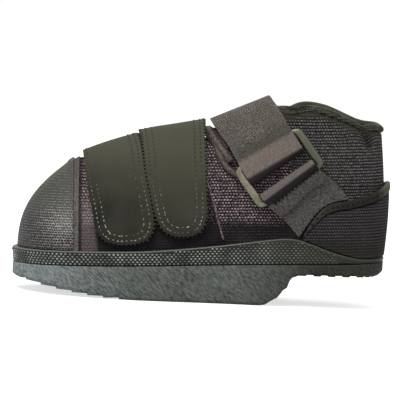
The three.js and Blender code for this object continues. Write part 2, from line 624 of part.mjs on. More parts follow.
// A point on the run of the strap. Above the bridge it spans from side to side, over the collar's opening.
const BRIDGE_RISE = 0.84;
const BRIDGE_DOME = 0.85;
function onRun(side, rise, across, offset) {
  const onSide = (which, level) => onForm(turnAtPlane(which, level, STRAP_LEAN, planeOf(across)), level, offset);
  if (rise <= BRIDGE_RISE) return onSide(side, rise);
  const [from, to] = [onSide(-1, BRIDGE_RISE), onSide(1, BRIDGE_RISE)];
  const reach = BRIDGE_DOME * from.distanceTo(to);
  const leave = from.clone().sub(onSide(-1, BRIDGE_RISE - 0.05)).setLength(reach);
  const arrive = onSide(1, BRIDGE_RISE - 0.05).sub(to).setLength(reach);
  const half = 0.5 * (Math.min(1, rise) - BRIDGE_RISE) / (1 - BRIDGE_RISE);
  const t = side < 0 ? half : 1 - half;
  return from.multiplyScalar((1 + 2 * t) * (1 - t) ** 2).addScaledVector(leave, t * (1 - t) ** 2)
    .addScaledVector(to, t * t * (3 - 2 * t)).addScaledVector(arrive, -t * t * (1 - t));
}

function riseAtRing(across, end, clear) {
  const bar = barPoint(end, across, clear, 0);
  return solve(0, 0.999, (rise) => {
    const point = formPoint(turnAtPlane(-1, rise, STRAP_LEAN, planeOf(across)), rise);
    return (point.z - bar.z) * RUN.z - (point.x - bar.x) * RUN.x < 0;
  });
}

// Ankle strap: webbing that comes up from the inner side, crosses the instep, turns back round the upper
// bar of the ring and lies on itself to past the crest.
const PAD_STAND = PAD_THICKNESS + 2 * LAID_GAP + CLEARANCE;
const STRAP_COLUMNS = steps(4);
const INNER_PAD_END = 0.56;

// One row across the strap: webbing stays straight across its width, clear of the form beneath it.
function strapRow(along) {
  const side = along < 0 ? 1 : -1;
  const lowest = (across) => (side > 0 ? webbingEnd(1, across, STRAP_END_MARGIN) : riseAtRing(across, -1, 0));
  const seat = (across, offset) => onRun(side, mix(1, lowest(across), Math.abs(along)), across, offset);
  const padEnd = 1 - PAD_END_RUN / INSTEP_RUN;
  const stand = mix(PAD_STAND, LAID_GAP, smoothstep((Math.abs(along) - (side > 0 ? INNER_PAD_END : padEnd)) / 0.16));
  const seats = STRAP_COLUMNS.map((across) => seat(across, stand));
  const [left, right] = [seats[0], seats.at(-1)];
  const normal = seat(0.5, stand + 1).sub(seat(0.5, stand)).normalize();
  const rises = seats.map((point, i) => point.clone().sub(left.clone().lerp(right, STRAP_COLUMNS[i])).dot(normal));
  const lift = Math.max(...rises);
  left.addScaledVector(normal, lift);
  right.addScaledVector(normal, lift);
  return { along, seats, normal, left, right };
}

// Lifts a smoothed row until no seat stands above its straight cross line.
function clearOfSeats(row) {
  const lift = Math.max(0, ...row.seats.map((point, i) => (
    point.clone().sub(row.left.clone().lerp(row.right, STRAP_COLUMNS[i])).dot(row.normal))));
  row.left.addScaledVector(row.normal, lift);
  row.right.addScaledVector(row.normal, lift);
  return row;
}

function smoothed(rows, passes) {
  let current = rows;
  for (let pass = 0; pass < passes; pass += 1) {
    current = current.map((row, i) => {
      if (i === 0 || i === current.length - 1) return row;
      const blend = (key) => row[key].clone().multiplyScalar(2).add(current[i - 1][key]).add(current[i + 1][key])
        .divideScalar(4);
      return { ...row, normal: blend('normal').normalize(), left: blend('left'), right: blend('right') };
    });
  }
  return current;
}

function strapPoint(row, across, layer, depth) {
  const over = layer * (WEBBING_THICKNESS + CLEARANCE) + depth;
  const laid = row.left.clone().lerp(row.right, across).addScaledVector(row.normal, over);
  if (row.along <= 0) return laid;
  const padEnd = 1 - PAD_END_RUN / INSTEP_RUN;
  const nearBar = smoothstep((row.along - padEnd - 0.04) / (0.86 - padEnd - 0.04));
  const lift = layer === 0 ? -(barReach + WEBBING_THICKNESS) + depth : barReach + depth;
  return laid.lerp(barPoint(-1, across, (row.along - 1) * INSTEP_RUN + STRAP_LOOP_SLACK, lift), nearBar);
}

function makeAnkleStrap() {
  const rows = smoothed([...steps(12).map((share) => share - 1), ...steps(12).slice(1)].map(strapRow), 3)
    .map(clearOfSeats);
  const over = [];
  const under = [];
  const addLayer = (row, layer) => {
    const [near, far] = layer === 0 ? [WEBBING_THICKNESS, 0] : [0, WEBBING_THICKNESS];
    over.push(STRAP_COLUMNS.map((across) => strapPoint(row, across, layer, far)));
    under.push(STRAP_COLUMNS.map((across) => strapPoint(row, across, layer, near)));
  };
  rows.forEach((row) => addLayer(row, 0));
  steps(6).slice(1, -1).forEach((share) => {
    const angle = (share - 0.5) * Math.PI;
    const arc = (radius) => STRAP_COLUMNS.map((across) => (
      barPoint(-1, across, STRAP_LOOP_SLACK + radius * Math.cos(angle), radius * Math.sin(angle))));
    over.push(arc(barReach + WEBBING_THICKNESS));
    under.push(arc(barReach));
  });
  rows.toReversed().filter((row) => row.along > -0.2).forEach((row) => addLayer(row, 1));
  return bodyOf(sheetOf(over, under));
}

// Ring anchor: webbing sewn in under the counter, turned back over the lower bar with a cut free end.
function makeRingAnchor() {
  const across = steps(5);
  const over = [];
  const under = [];
  const laid = (u, along, layer, depth) => {
    const low = webbingEnd(-1, u, ANCHOR_END_MARGIN);
    const high = riseAtRing(u, 1, 0);
    const nearBar = smoothstep((along - 0.45) / 0.55);
    const lift = layer === 0 ? -(barReach + WEBBING_THICKNESS) + depth : barReach + depth;
    const point = onRun(-1, mix(low, high, along), u, CLEARANCE + layer * (WEBBING_THICKNESS + CLEARANCE) + depth);
    return point.lerp(barPoint(1, u, (1 - along) * ANCHOR_RUN - ANCHOR_LOOP_SLACK, lift), nearBar);
  };
  steps(7).forEach((along) => {
    over.push(across.map((u) => laid(u, along, 0, 0)));
    under.push(across.map((u) => laid(u, along, 0, WEBBING_THICKNESS)));
  });
  steps(6).slice(1, -1).forEach((share) => {
    const angle = (share - 0.5) * Math.PI;
    const arc = (radius) => across.map((u) => (
      barPoint(1, u, -ANCHOR_LOOP_SLACK - radius * Math.cos(angle), radius * Math.sin(angle))));
    over.push(arc(barReach + WEBBING_THICKNESS));
    under.push(arc(barReach));
  });
  const backEnd = 1 - ANCHOR_TURN_BACK / ANCHOR_RUN;
  steps(3).map((share) => mix(1, backEnd, share)).forEach((along) => {
    over.push(across.map((u) => laid(u, along, 1, WEBBING_THICKNESS)));
    under.push(across.map((u) => laid(u, along, 1, 0)));
  });
  return bodyOf(sheetOf(over, under));
}

// Instep pad: soft sheet under the ankle strap, with a thick rolled edge at its front.
function makeInstepPad() {
  const roll = PAD_ROLL_WIDTH / WEBBING_WIDTH;
  const fore = -0.025;
  const across = [...steps(5).map((share) => fore - roll * (1 - share)), 0.2, 0.4, 0.6, 0.8];
  const along = steps(20).map((share) => 2 * share - 1);
  const face = (isTop) => grid(along, across, (v, u) => {
    const side = v < 0 ? -1 : 1;
    const endRun = u < fore ? PAD_ROLL_END : PAD_END_RUN;
    const low = side < 0 ? riseAtRing(Math.min(1, Math.max(0, u)), -1, -endRun) : 0.66;
    const rise = mix(1, low, Math.abs(v));
    const inRoll = Math.min(1, Math.max(0, (u - fore + roll) / roll));
    const bead = Math.sqrt(Math.max(0, 1 - (2 * inRoll - 1) ** 2));
    const thick = u < fore ? Math.max(0.8, PAD_ROLL_THICKNESS * bead) : PAD_THICKNESS;
    return onRun(side, rise, u, LAID_GAP + CLEARANCE + (isTop ? Math.max(u < fore ? 0 : PAD_THICKNESS, thick) : 0));
  });
  return bodyOf(sheetOf(face(true), face(false)));
}

// Heel counter: a padded patch round the heel, with a bound edge that stands a little proud along its top.
function counterTurns() {
  const first = solve(9, HEEL_ROW, (turn) => footOutline(turn).x < LAST_LENGTH * (COUNTER_TOP[0].at + 0.006 - 0.5));
  return steps(28).map((share) => mix(first, RING_ROWS - first, share));
}

function patchOf(turns, lowOf, highOf, thickness, rows) {
  const face = (depth) => turns.map((turn) => {
    const [low, high] = [riseAtHeight(turn, lowOf(turn)), riseAtHeight(turn, highOf(turn))];
    return steps(rows).map((share) => onForm(turn, mix(low, high, share), CLEARANCE + depth));
  });
  return bodyOf(sheetOf(face(thickness), face(0)));
}

const counterLow = (turn) => Math.max(FORM_FOOT, lipTop(turn)) + 2 * CLEARANCE;
const counterHigh = (turn) => Math.max(counterLow(turn) + 2, counterTop(footOutline(turn).x));
const bindingLow = (turn) => Math.max(counterLow(turn) + 1, counterHigh(turn) - BINDING_WIDTH);

function makeCounter() {
  return patchOf(counterTurns(), counterLow, (turn) => bindingLow(turn) - CLEARANCE, COUNTER_THICKNESS, 4);
}

function makeCounterBinding() {
  return patchOf(counterTurns(), bindingLow, counterHigh, BINDING_THICKNESS, 2);
}

// Finishes
const finish = (color, roughness, metalness = 0) => new THREE.MeshStandardMaterial({ color, roughness, metalness });
const RUBBER = finish(0x4a514c, 0.75);
const CUP_RUBBER = finish(0x2f342f, 0.55);
const MESH_FABRIC = finish(0x37333a, 0.9);
const CAP_MESH = finish(0x3e3c3d, 0.85);
const STRAP_FELT = finish(0x3d3c34, 0.85);
const WEBBING = finish(0x5c574f, 0.8);
const LINING = finish(0x3a3a36, 0.9);
const BOUND_EDGE = finish(0x4f473f, 0.8);
const COLLAR_CLOTH = finish(0x444738, 0.75);
const PAINTED_METAL = finish(0x9a9d80, 0.35, 0.6);

const shoe = new THREE.Group();
const last = new THREE.Group();
last.rotation.y = -TILT;
last.position.z = WEDGE_LIFT;
shoe.add(last);

function addPiece(parent, name, geometry, material) {
  const mesh = new THREE.Mesh(geometry, material);
  mesh.name = name;
  parent.add(mesh);
}

addPiece(shoe, 'outsole', makeOutsole(), RUBBER);
addPiece(last, 'cup', makeCup(), CUP_RUBBER);
addPiece(last, 'insole', makeInsole(), LINING);
addPiece(last, 'upper', makeUpper(), MESH_FABRIC);
addPiece(last, 'toe_cap', makeToeCap(), CAP_MESH);
addPiece(last, 'tongue', makeTongue(), LINING);
addPiece(last, 'collar', makeCollar(), COLLAR_CLOTH);
addPiece(last, 'strap_front', makeFlap(FLAPS.front), STRAP_FELT);
addPiece(last, 'strap_rear', makeFlap(FLAPS.rear), STRAP_FELT);
addPiece(last, 'instep_pad', makeInstepPad(), BOUND_EDGE);
addPiece(last, 'ring', makeRing(), PAINTED_METAL);
addPiece(last, 'ankle_strap', makeAnkleStrap(), WEBBING);
addPiece(last, 'ring_anchor', makeRingAnchor(), WEBBING);
addPiece(last, 'heel_counter', makeCounter(), MESH_FABRIC);
addPiece(last, 'counter_binding', makeCounterBinding(), BOUND_EDGE);

// The origin is the middle of the box round the whole shoe, on the floor.
shoe.updateMatrixWorld(true);
const middle = new THREE.Box3().setFromObject(shoe, true).getCenter(new THREE.Vector3());
for (const part of shoe.children) {
  part.position.x -= middle.x;
  part.position.y -= middle.y;
}

export default shoe;
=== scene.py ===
# The looks of a left heel-relief post-operative shoe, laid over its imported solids.
# Metres, toe towards -X, outer side towards -Y, +Z up.
import math

import bmesh
import bpy
from mathutils import Matrix, Vector
from mathutils.bvhtree import BVHTree


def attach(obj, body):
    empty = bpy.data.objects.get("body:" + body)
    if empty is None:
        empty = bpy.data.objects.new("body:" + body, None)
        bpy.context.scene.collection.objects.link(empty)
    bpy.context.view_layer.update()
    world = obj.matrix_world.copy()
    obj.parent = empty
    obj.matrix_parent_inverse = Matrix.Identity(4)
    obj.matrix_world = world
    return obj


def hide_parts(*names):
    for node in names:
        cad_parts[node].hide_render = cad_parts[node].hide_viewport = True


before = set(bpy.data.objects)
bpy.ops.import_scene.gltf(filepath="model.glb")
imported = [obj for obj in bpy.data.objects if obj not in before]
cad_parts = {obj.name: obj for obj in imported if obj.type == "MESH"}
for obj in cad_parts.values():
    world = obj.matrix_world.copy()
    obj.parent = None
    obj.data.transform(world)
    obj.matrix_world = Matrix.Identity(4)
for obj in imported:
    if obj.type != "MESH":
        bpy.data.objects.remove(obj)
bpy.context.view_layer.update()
MM = 0.001

# Camera, floor and light
# The photograph looks square on at the outer side from a little above. There the last lies level, and here
# the shoe stands on its wedge, so the camera is rolled by the wedge's angle.
WEDGE_ANGLE = math.radians(3.13)
LAST_LIFT = 28.66 * MM
LAST_SHIFT = Vector((0.992, 0.534, 0)) * MM
VIEW_HEIGHT_ANGLE = math.radians(4.2)
VIEW_DISTANCE = 3.2
PHOTO_SIZE = 400
PIXEL = 0.769 * MM
SENSOR = 36
MIDDLE_PIXEL = Vector((199.8, 265.0))
LIP_RISE = 3.66 * MM
FLOOR_SIZE = 80
PAPER_TONE = 0.62
PAPER_GLOW = 0.66
SKY_STRENGTH = 0.55
COAT_ROUGHNESS = 0.3


def turned(direction):
    """A direction in the last's own frame, as it lies when the shoe stands."""
    c, s = math.cos(WEDGE_ANGLE), math.sin(WEDGE_ANGLE)
    return Vector((direction[0] * c - direction[2] * s, direction[1], direction[0] * s + direction[2] * c))


def from_last(point):
    return turned(point) + LAST_SHIFT + Vector((0, 0, LAST_LIFT))


view_right = turned((1, 0, 0))
view_up = turned((0, math.sin(VIEW_HEIGHT_ANGLE), math.cos(VIEW_HEIGHT_ANGLE)))
view_back = turned((0, -math.cos(VIEW_HEIGHT_ANGLE), math.sin(VIEW_HEIGHT_ANGLE)))


def sight(px, py):
    """The point of the plane through the middle of the last that a pixel of the photograph shows."""
    along = (px - MIDDLE_PIXEL.x) * PIXEL
    high = (MIDDLE_PIXEL.y - py) * PIXEL - LIP_RISE
    return from_last((0, 0, 0)) + view_right * along + view_up * high


def select_only(*pieces):
    bpy.ops.object.select_all(action="DESELECT")
    for piece in pieces:
        piece.select_set(True)
    bpy.context.view_layer.objects.active = pieces[0]


def placed(name, data):
    """A new object of the scene, at the origin."""
    thing = bpy.data.objects.new(name, data)
    bpy.context.scene.collection.objects.link(thing)
    return thing


def fed(socket, value):
    """Gives a socket a value, or links it to the socket that feeds it."""
    if isinstance(value, bpy.types.NodeSocket):
        socket.id_data.links.new(value, socket)
    else:
        socket.default_value = value


def node(tree, kind, inputs=None, **settings):
    made = tree.nodes.new(kind)
    for key, value in settings.items():
        setattr(made, key, value)
    for key, value in (inputs or {}).items():
        fed(made.inputs[key], value)
    return made


def node_after(kind, inputs, **settings):
    """A shader node in the tree of the sockets that feed it."""
    tree = next(value.id_data for value in inputs.values() if isinstance(value, bpy.types.NodeSocket))
    return node(tree, kind, inputs, **settings)


def new_material(name, roughness=0.8, metallic=0.0, coat=0.0, specular=0.5):
    """A material, its shader and the place on the piece that its patterns go by."""
    material = bpy.data.materials.new(name)
    material.use_nodes = True
    shader = material.node_tree.nodes["Principled BSDF"]
    values = {"Roughness": roughness, "Metallic": metallic, "Coat Weight": coat,
              "Coat Roughness": COAT_ROUGHNESS, "Specular IOR Level": specular}
    for key, value in values.items():
        shader.inputs[key].default_value = value
    place = node(material.node_tree, "ShaderNodeTexCoord").outputs["Object"]
    return material, shader, place


def math_of(operation, first, second=0.5):
    return node_after("ShaderNodeMath", {0: first, 1: second}, operation=operation).outputs[0]


def times(first, second):
    return math_of("MULTIPLY", first, second)


def rest_of(share):
    return math_of("SUBTRACT", 1.0, share)


def rgb(red, green, blue):
    """A colour as seen, 0 to 255, as the linear light that a shader takes."""
    seen = [v / 255 for v in (red, green, blue)]
    linear = [v / 12.92 if v < 0.039 else ((v + 0.055) / 1.055) ** 2.4 for v in seen]
    return (*linear, 1.0)


camera_data = bpy.data.cameras.new("camera")
camera_data.sensor_width = SENSOR
camera_data.lens = SENSOR * VIEW_DISTANCE / (PHOTO_SIZE * PIXEL)
camera_data.clip_end = 100
camera = placed("camera", camera_data)
camera_place = sight(PHOTO_SIZE / 2, PHOTO_SIZE / 2) + view_back * VIEW_DISTANCE
for column, way in enumerate((view_right, view_up, view_back, camera_place)):
    for row in range(3):
        camera.matrix_world[row][column] = way[row]
bpy.context.scene.camera = camera

bpy.ops.mesh.primitive_plane_add(size=FLOOR_SIZE, location=(0, 0, 0))
floor = bpy.context.object
floor.name = "floor"
floor_material, shader, _ = new_material("floor_paper", roughness=1.0, specular=0.0)
shader.inputs["Base Color"].default_value = (PAPER_TONE, PAPER_TONE, PAPER_TONE, 1)
shader.inputs["Emission Color"].default_value = (1, 1, 1, 1)
seen = node(floor_material.node_tree, "ShaderNodeLightPath").outputs["Is Camera Ray"]
fed(shader.inputs["Emission Strength"], times(seen, PAPER_GLOW))
floor.data.materials.append(floor_material)

world = bpy.data.worlds.new("studio")
world.use_nodes = True
sky = world.node_tree.nodes["Background"]
sky.inputs["Color"].default_value = (1, 1, 1, 1)
sky.inputs["Strength"].default_value = SKY_STRENGTH
bpy.context.scene.world = world
bpy.context.scene.view_settings.view_transform = "Standard"


def softbox(name, place, aim, size, power):
    lamp = bpy.data.lights.new(name, "AREA")
    lamp.shape = "SQUARE"
    lamp.size = size
    lamp.energy = power
    holder = placed(name, lamp)
    holder.location = place
    holder.rotation_euler = (Vector(aim) - Vector(place)).to_track_quat("-Z", "Y").to_euler()


softbox("key_light", place=(-0.5, -0.9, 1.7), aim=(0, 0, 0.07), size=0.8, power=23)
softbox("fill_light", place=(1.2, -1.2, 0.9), aim=(0, 0, 0.07), size=1.2, power=4)
softbox("back_light", place=(0.3, 1.4, 1.5), aim=(0, 0, 0.08), size=1.2, power=14)


# Outsole
# One moulded rubber wedge with a rocker toe, tread bars and a heel shelf. The mould leaves its side finely
# streaked on a slant, and the side is painted paler at the toe and almost black under the heel.
SOLE_DARK = rgb(52, 56, 53)
SOLE_LIGHT = rgb(112, 117, 111)
TOE_DARK = rgb(88, 95, 95)
TOE_LIGHT = rgb(158, 168, 168)
HEEL_DARK = rgb(28, 30, 24)
HEEL_LIGHT = rgb(58, 60, 50)
STREAK_SIZE = (4.5 * MM, 4.5 * MM, 1.0 * MM)
STREAK_SLANT = math.radians(42)
WELD = 0.02 * MM


def opened(piece):
    """Takes a piece into edit mode with all of it selected."""
    select_only(piece)
    bpy.ops.object.mode_set(mode="EDIT")
    bpy.ops.mesh.select_all(action="SELECT")


def copy_of(cad_node):
    """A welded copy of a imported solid, with its triangles paired to quads."""
    piece = placed(cad_node + "_dressed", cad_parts[cad_node].data.copy())
    piece.data.materials.clear()
    opened(piece)
    bpy.ops.mesh.remove_doubles(threshold=WELD)
    bpy.ops.mesh.tris_convert_to_quads(face_threshold=0.7, shape_threshold=1.2)
    bpy.ops.object.mode_set(mode="OBJECT")
    if piece.data.has_custom_normals:
        bpy.ops.mesh.customdata_custom_splitnormals_clear()
    return piece


def modified(piece, kind, **settings):
    """Changes a piece by one modifier, and leaves it the active one."""
    select_only(piece)
    modifier = piece.modifiers.new("change", kind)
    for key, value in settings.items():
        setattr(modifier, key, value)
    bpy.ops.object.modifier_apply(modifier="change")


def smooth(degrees):
    """Shades the active piece smooth over edges that bend less than this."""
    bpy.ops.object.shade_smooth_by_angle(angle=math.radians(degrees))


def rounded(piece, levels, sharp_angle=50, crease=0.75):
    """Rounds a copy's facets off, and keeps its sharp edges as tight as the crease says."""
    mesh = bmesh.new()
    mesh.from_mesh(piece.data)
    layer = mesh.edges.layers.float.get("crease_edge") or mesh.edges.layers.float.new("crease_edge")
    for edge in mesh.edges:
        is_sharp = len(edge.link_faces) == 2 and edge.calc_face_angle() > math.radians(sharp_angle)
        edge[layer] = crease if is_sharp else 0.0
    mesh.to_mesh(piece.data)
    mesh.free()
    modified(piece, "SUBSURF", levels=levels, render_levels=levels)
    smooth(42)
    return piece


def finished(piece, material, slot, *nodes):
    piece.data.materials.clear()
    piece.data.materials.append(material)
    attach(piece, "root")
    if nodes:
        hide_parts(*nodes)


def mixed(share, first, second):
    return node_after("ShaderNodeMix", {0: share, 6: first, 7: second}, data_type="RGBA").outputs[2]


def ramp_of(value, start, end, low=0.0, high=1.0):
    """Goes from low to high as the value goes from start to end, and stays there."""
    if start > end:
        start, end, low, high = end, start, high, low
    ends = {"From Min": start, "From Max": end, "To Min": low, "To Max": high}
    return node_after("ShaderNodeMapRange", {"Value": value, **ends}).outputs["Result"]


def parts_of(vector):
    return node_after("ShaderNodeSeparateXYZ", {0: vector}).outputs


def fade(vector, axis, start, end, low=0.0, high=1.0):
    """A ramp along one axis of a place."""
    return ramp_of(parts_of(vector)[axis], start, end, low, high)


def noise(vector, scale, detail=3.0, rough=0.5):
    values = {"Vector": vector, "Scale": scale, "Detail": detail, "Roughness": rough}
    return node_after("ShaderNodeTexNoise", values).outputs["Fac"]


def new_group(name, inputs, output, kind="Float"):
    """A shader node group: its inputs by name and kind, and its one output."""
    group = bpy.data.node_groups.new(name, "ShaderNodeTree")
    for key, input_kind in inputs.items():
        group.interface.new_socket(key, in_out="INPUT", socket_type="NodeSocket" + input_kind)
    group.interface.new_socket(output, in_out="OUTPUT", socket_type="NodeSocket" + kind)
    return group, node(group, "NodeGroupInput").outputs, node(group, "NodeGroupOutput").inputs[output]


def grouped(group, inputs):
    return node_after("ShaderNodeGroup", inputs, node_tree=group).outputs[0]


def painted(shader, colour, height=None, depth=0.0, strength=1.0):
    """Gives a shader its colour and, from a height, the fine relief of the surface."""
    fed(shader.inputs["Base Color"], colour)
    if height:
        relief = node_after("ShaderNodeBump", {"Height": height, "Distance": depth, "Strength": strength})
        fed(shader.inputs["Normal"], relief.outputs["Normal"])


# Pale dust and scuffs gather in patches, and the same patches place painted highlights and glints. The mask
# runs from 0 to 1.
DUST_AND_GLINT, enter, leave = new_group("dust_and_glint", {"Vector": "Vector", "Scale": "Float"}, "Mask")
patches = noise(enter["Vector"], enter["Scale"], 6.0, 0.65)
fed(leave, ramp_of(patches, 0.42, 0.72))


def dust_and_glint_mask(vector, scale):
    return grouped(DUST_AND_GLINT, {"Vector": vector, "Scale": scale})


outsole_material, shader, place = new_material("streaked_rubber", roughness=0.75, specular=0.3)
along = parts_of(place)["X"]
slant = {"Vector": place, "Rotation": (0, STREAK_SLANT, 0), "Scale": STREAK_SIZE}
slanted = node_after("ShaderNodeMapping", slant, vector_type="TEXTURE").outputs["Vector"]
streaks = noise(slanted, 1.0, 5.0, 0.75)
toeward = ramp_of(along, -0.045, -0.130, 0.0, 0.9)
heelward = ramp_of(along, 0.030, 0.092)
dark = mixed(heelward, mixed(toeward, SOLE_DARK, TOE_DARK), HEEL_DARK)
light = mixed(heelward, mixed(toeward, SOLE_LIGHT, TOE_LIGHT), HEEL_LIGHT)
rubber = mixed(ramp_of(streaks, 0.40, 0.60), dark, light)
rubber = mixed(times(dust_and_glint_mask(place, 40.0), 0.3), rubber, light)
painted(shader, rubber, streaks, 0.35 * MM, 0.8)

outsole = copy_of("outsole")
modified(outsole, "BEVEL", width=0.45 * MM, segments=2, angle_limit=math.radians(28))
smooth(25)
finished(outsole, outsole_material, "sole_rubber", "outsole")


# Cup and its dotted band
# A moulded floor and rand in dark rubber. The band between its lip and the wedge carries raised diamonds in
# staggered rows, their pale tone partly a painted glint, and the lip over it is a smooth roll that catches
# the light as a painted highlight on its upward faces.
BAND_COLOUR = rgb(13, 16, 14)
BAND_LIGHT = rgb(28, 31, 27)
LIP_PAINTED_HIGHLIGHT = rgb(112, 115, 106)
BAND_DUST = rgb(104, 108, 98)
BAND_HEEL = rgb(50, 50, 38)
DIAMOND_DARK = rgb(86, 92, 85)
DIAMOND_PALE_AND_GLINT = rgb(196, 202, 192)
DIAMOND_HEEL = rgb(66, 68, 54)
DIAMOND_PITCH = 3.25 * MM
DIAMOND_FOOT = 1.3 * MM
DIAMOND_RISE = 1.88 * MM
DIAMOND_ROWS = 9
BELOW_LIP = 1.7 * MM
DIAMOND_HALF = Vector((1.28, 0.98, 0.75)) * MM
BAND_REACH = 0.80
LIP_DRAW = 2.5 * MM
STEEPEST = 0.8
RAY_START = 60 * MM
RAY_REACH = 120 * MM
TOE_CENTRE = -92 * MM
HEEL_CENTRE = 100 * MM
ROUND_RADIUS = 45 * MM
HALF_GIRDLE = ROUND_RADIUS * math.pi + HEEL_CENTRE - TOE_CENTRE


def skin_of(piece):
    """What rays are cast against: a piece as it is now."""
    return BVHTree.FromObject(piece, bpy.context.evaluated_depsgraph_get())


def girdle(run):
    """A place and outward way at a run round the shoe, from the toe tip down the outer side."""
    quarter = ROUND_RADIUS * math.pi / 2
    side = HEEL_CENTRE - TOE_CENTRE
    if run < quarter:
        angle = run / ROUND_RADIUS
        out = Vector((-math.cos(angle), -math.sin(angle), 0))
        return Vector((TOE_CENTRE, 0, 0)) + out * ROUND_RADIUS, out
    if run < quarter + side:
        return Vector((TOE_CENTRE + run - quarter, -ROUND_RADIUS, 0)), Vector((0, -1, 0))
    angle = (run - quarter - side) / ROUND_RADIUS
    out = Vector((math.sin(angle), -math.cos(angle), 0))
    return Vector((HEEL_CENTRE, 0, 0)) + out * ROUND_RADIUS, out


def cast_round(skin, run, height):
    """Where a skin lies at a run round the last and a height over its floor line."""
    is_inner = run > HALF_GIRDLE
    spot, out = girdle(2 * HALF_GIRDLE - run if is_inner else run)
    if is_inner:
        spot.y, out.y = -spot.y, -out.y
    start = from_last((spot.x, spot.y, height)) + turned(out) * RAY_START
    hit, normal, _, _ = skin.ray_cast(start, -turned(out), RAY_REACH)
    return hit, normal


def seat(spot, right, out):
    """The matrix that sets a small model on a spot, its X to the right and its Z outward."""
    out = out.normalized()
    up = out.cross(right).normalized()
    return Matrix.LocRotScale(spot, Matrix((up.cross(out), up, out)).transposed(), None)


def shaped(half, lift=0.0, bevel=0.0):
    """Gives the small model just added its half sizes, and may raise it and take its edges off."""
    opened(bpy.context.object)
    bpy.ops.transform.resize(value=tuple(half), center_override=(0, 0, 0))
    if lift:
        bpy.ops.transform.translate(value=(0, 0, lift))
    if bevel:
        bpy.ops.mesh.bevel(offset=bevel, segments=1)
    bpy.ops.object.mode_set(mode="OBJECT")
    return bpy.context.object


def strewn(name, model, seats, smooth_angle=40):
    """Copies of a small model, one on each seat and each with its own mesh, joined to one piece."""
    twins = []
    for place in seats:
        twin = placed(name, model.data.copy())
        twin.data.transform(place)
        twins.append(twin)
    bpy.data.objects.remove(model)
    select_only(*twins)
    bpy.ops.object.join()
    piece = bpy.context.object
    piece.name = name
    smooth(smooth_angle)
    return piece


def facing_up(place):
    """How far the surface faces up, from -1 to 1."""
    normal = node(place.id_data, "ShaderNodeNewGeometry").outputs["Normal"]
    return parts_of(normal)["Z"]


cup_material, shader, place = new_material("cup_rubber", roughness=0.55, coat=0.1, specular=0.35)
cloud = noise(place, 260.0, 4.0)
# Painted highlight: faces turned up on the lip's roll are painted pale.
lit = ramp_of(facing_up(place), 0.35, 0.85, 0.0, 0.9)
heelward = fade(place, "X", 0.02, 0.09, 0.0, 0.6)
band = mixed(times(cloud, 0.6), BAND_COLOUR, BAND_LIGHT)
band = mixed(lit, band, LIP_PAINTED_HIGHLIGHT)
band = mixed(times(dust_and_glint_mask(place, 60.0), 0.16), band, BAND_DUST)
band = mixed(heelward, band, BAND_HEEL)
painted(shader, band, cloud, 0.12 * MM)

cup = rounded(copy_of("cup"), 1, sharp_angle=40, crease=0.8)
finished(cup, cup_material, "cup_rubber", "cup")

bpy.ops.mesh.primitive_cone_add(vertices=4, radius1=1.0, radius2=0.45, depth=1.0, location=(0, 0, 0))
diamond = shaped(DIAMOND_HALF, lift=0.22 * MM, bevel=0.12 * MM)

cup_skin = skin_of(cup)
diamond_seats = []
diamond_count = int(2 * HALF_GIRDLE / DIAMOND_PITCH)
for row in range(DIAMOND_ROWS):
    height = DIAMOND_FOOT + row * DIAMOND_RISE
    for i in range(diamond_count):
        run = (i + 0.5 * (row % 2)) * 2 * HALF_GIRDLE / diamond_count
        hit, normal = cast_round(cup_skin, run, height)
        lip, _ = cast_round(cup_skin, run, height + BELOW_LIP)
        if abs(run - HALF_GIRDLE) < HALF_GIRDLE * (1 - BAND_REACH) or hit is None or lip is None:
            continue
        if (lip.xy - hit.xy).length < LIP_DRAW and abs(normal.z) < STEEPEST:
            diamond_seats.append(seat(hit, Vector((0, 0, 1)).cross(normal), normal))
dot_material, shader, place = new_material("diamond_rubber", roughness=0.5, coat=0.25, specular=0.4)
# The pale diamonds, set in patches, are partly a painted glint on their raised tops.
pale = mixed(dust_and_glint_mask(place, 70.0), DIAMOND_DARK, DIAMOND_PALE_AND_GLINT)
pale = mixed(fade(place, "X", -0.03, 0.085, 0.0, 0.92), pale, DIAMOND_HEEL)
painted(shader, pale)
finished(strewn("band_diamonds", diamond, diamond_seats), dot_material, "cup_rubber")


# Insole and tongue
# The footbed and the padded tongue are faced with the same dark brushed lining, soft and without gloss.
# Both are foam inside. The footbed lies loose in the cup, and the tongue lies under the straps.
LINING_DARK = rgb(30, 29, 28)
LINING_NAP = rgb(58, 56, 52)

lining_material, shader, place = new_material("brushed_lining", roughness=0.95, specular=0.2)
nap = noise(place, 900.0)
painted(shader, mixed(nap, LINING_DARK, LINING_NAP), nap, 0.3 * MM)
insole = rounded(copy_of("insole"), 1)
finished(insole, lining_material, "lining", "insole")
tongue = rounded(copy_of("tongue"), 2, crease=0.3)
finished(tongue, lining_material, "lining", "tongue")


# Upper
# One shell of knitted spacer mesh. The side panel has a coarse reddish knit, the quarter fine pale ribs that
# run level round the heel, and the knit is painted dark along the foot as shade near the lip. Painted shadow
# covers the forefoot between the cap strip and the seam, and painted shade lies in the groove by the cap's
# hem.
# A piped seam ends the panel.
PANEL_DARK = rgb(10, 6, 11)
PANEL_THREAD = rgb(184, 162, 167)
QUARTER_DARK = rgb(12, 10, 13)
QUARTER_THREAD = rgb(130, 124, 123)
FOOT_PAINTED_SHADE = rgb(17, 16, 19)
RIB_ROW = 2.3 * MM
RIB_COLUMN = 2.2 * MM
PANEL_ROW = 2.2 * MM
PANEL_COLUMN = 2.35 * MM
SEAM_SIGHTS = ((206, 176), (208, 186), (211.5, 196), (214.5, 206), (217, 218), (221, 232), (223, 239))
SEAM_RADIUS = 0.75 * MM
SIDE_DEPTH = 41 * MM
SIGHT_START = 500 * MM
SIGHT_REACH = 1000 * MM
SEAM_DARK = rgb(48, 42, 46)
SEAM_THREAD = rgb(128, 112, 116)
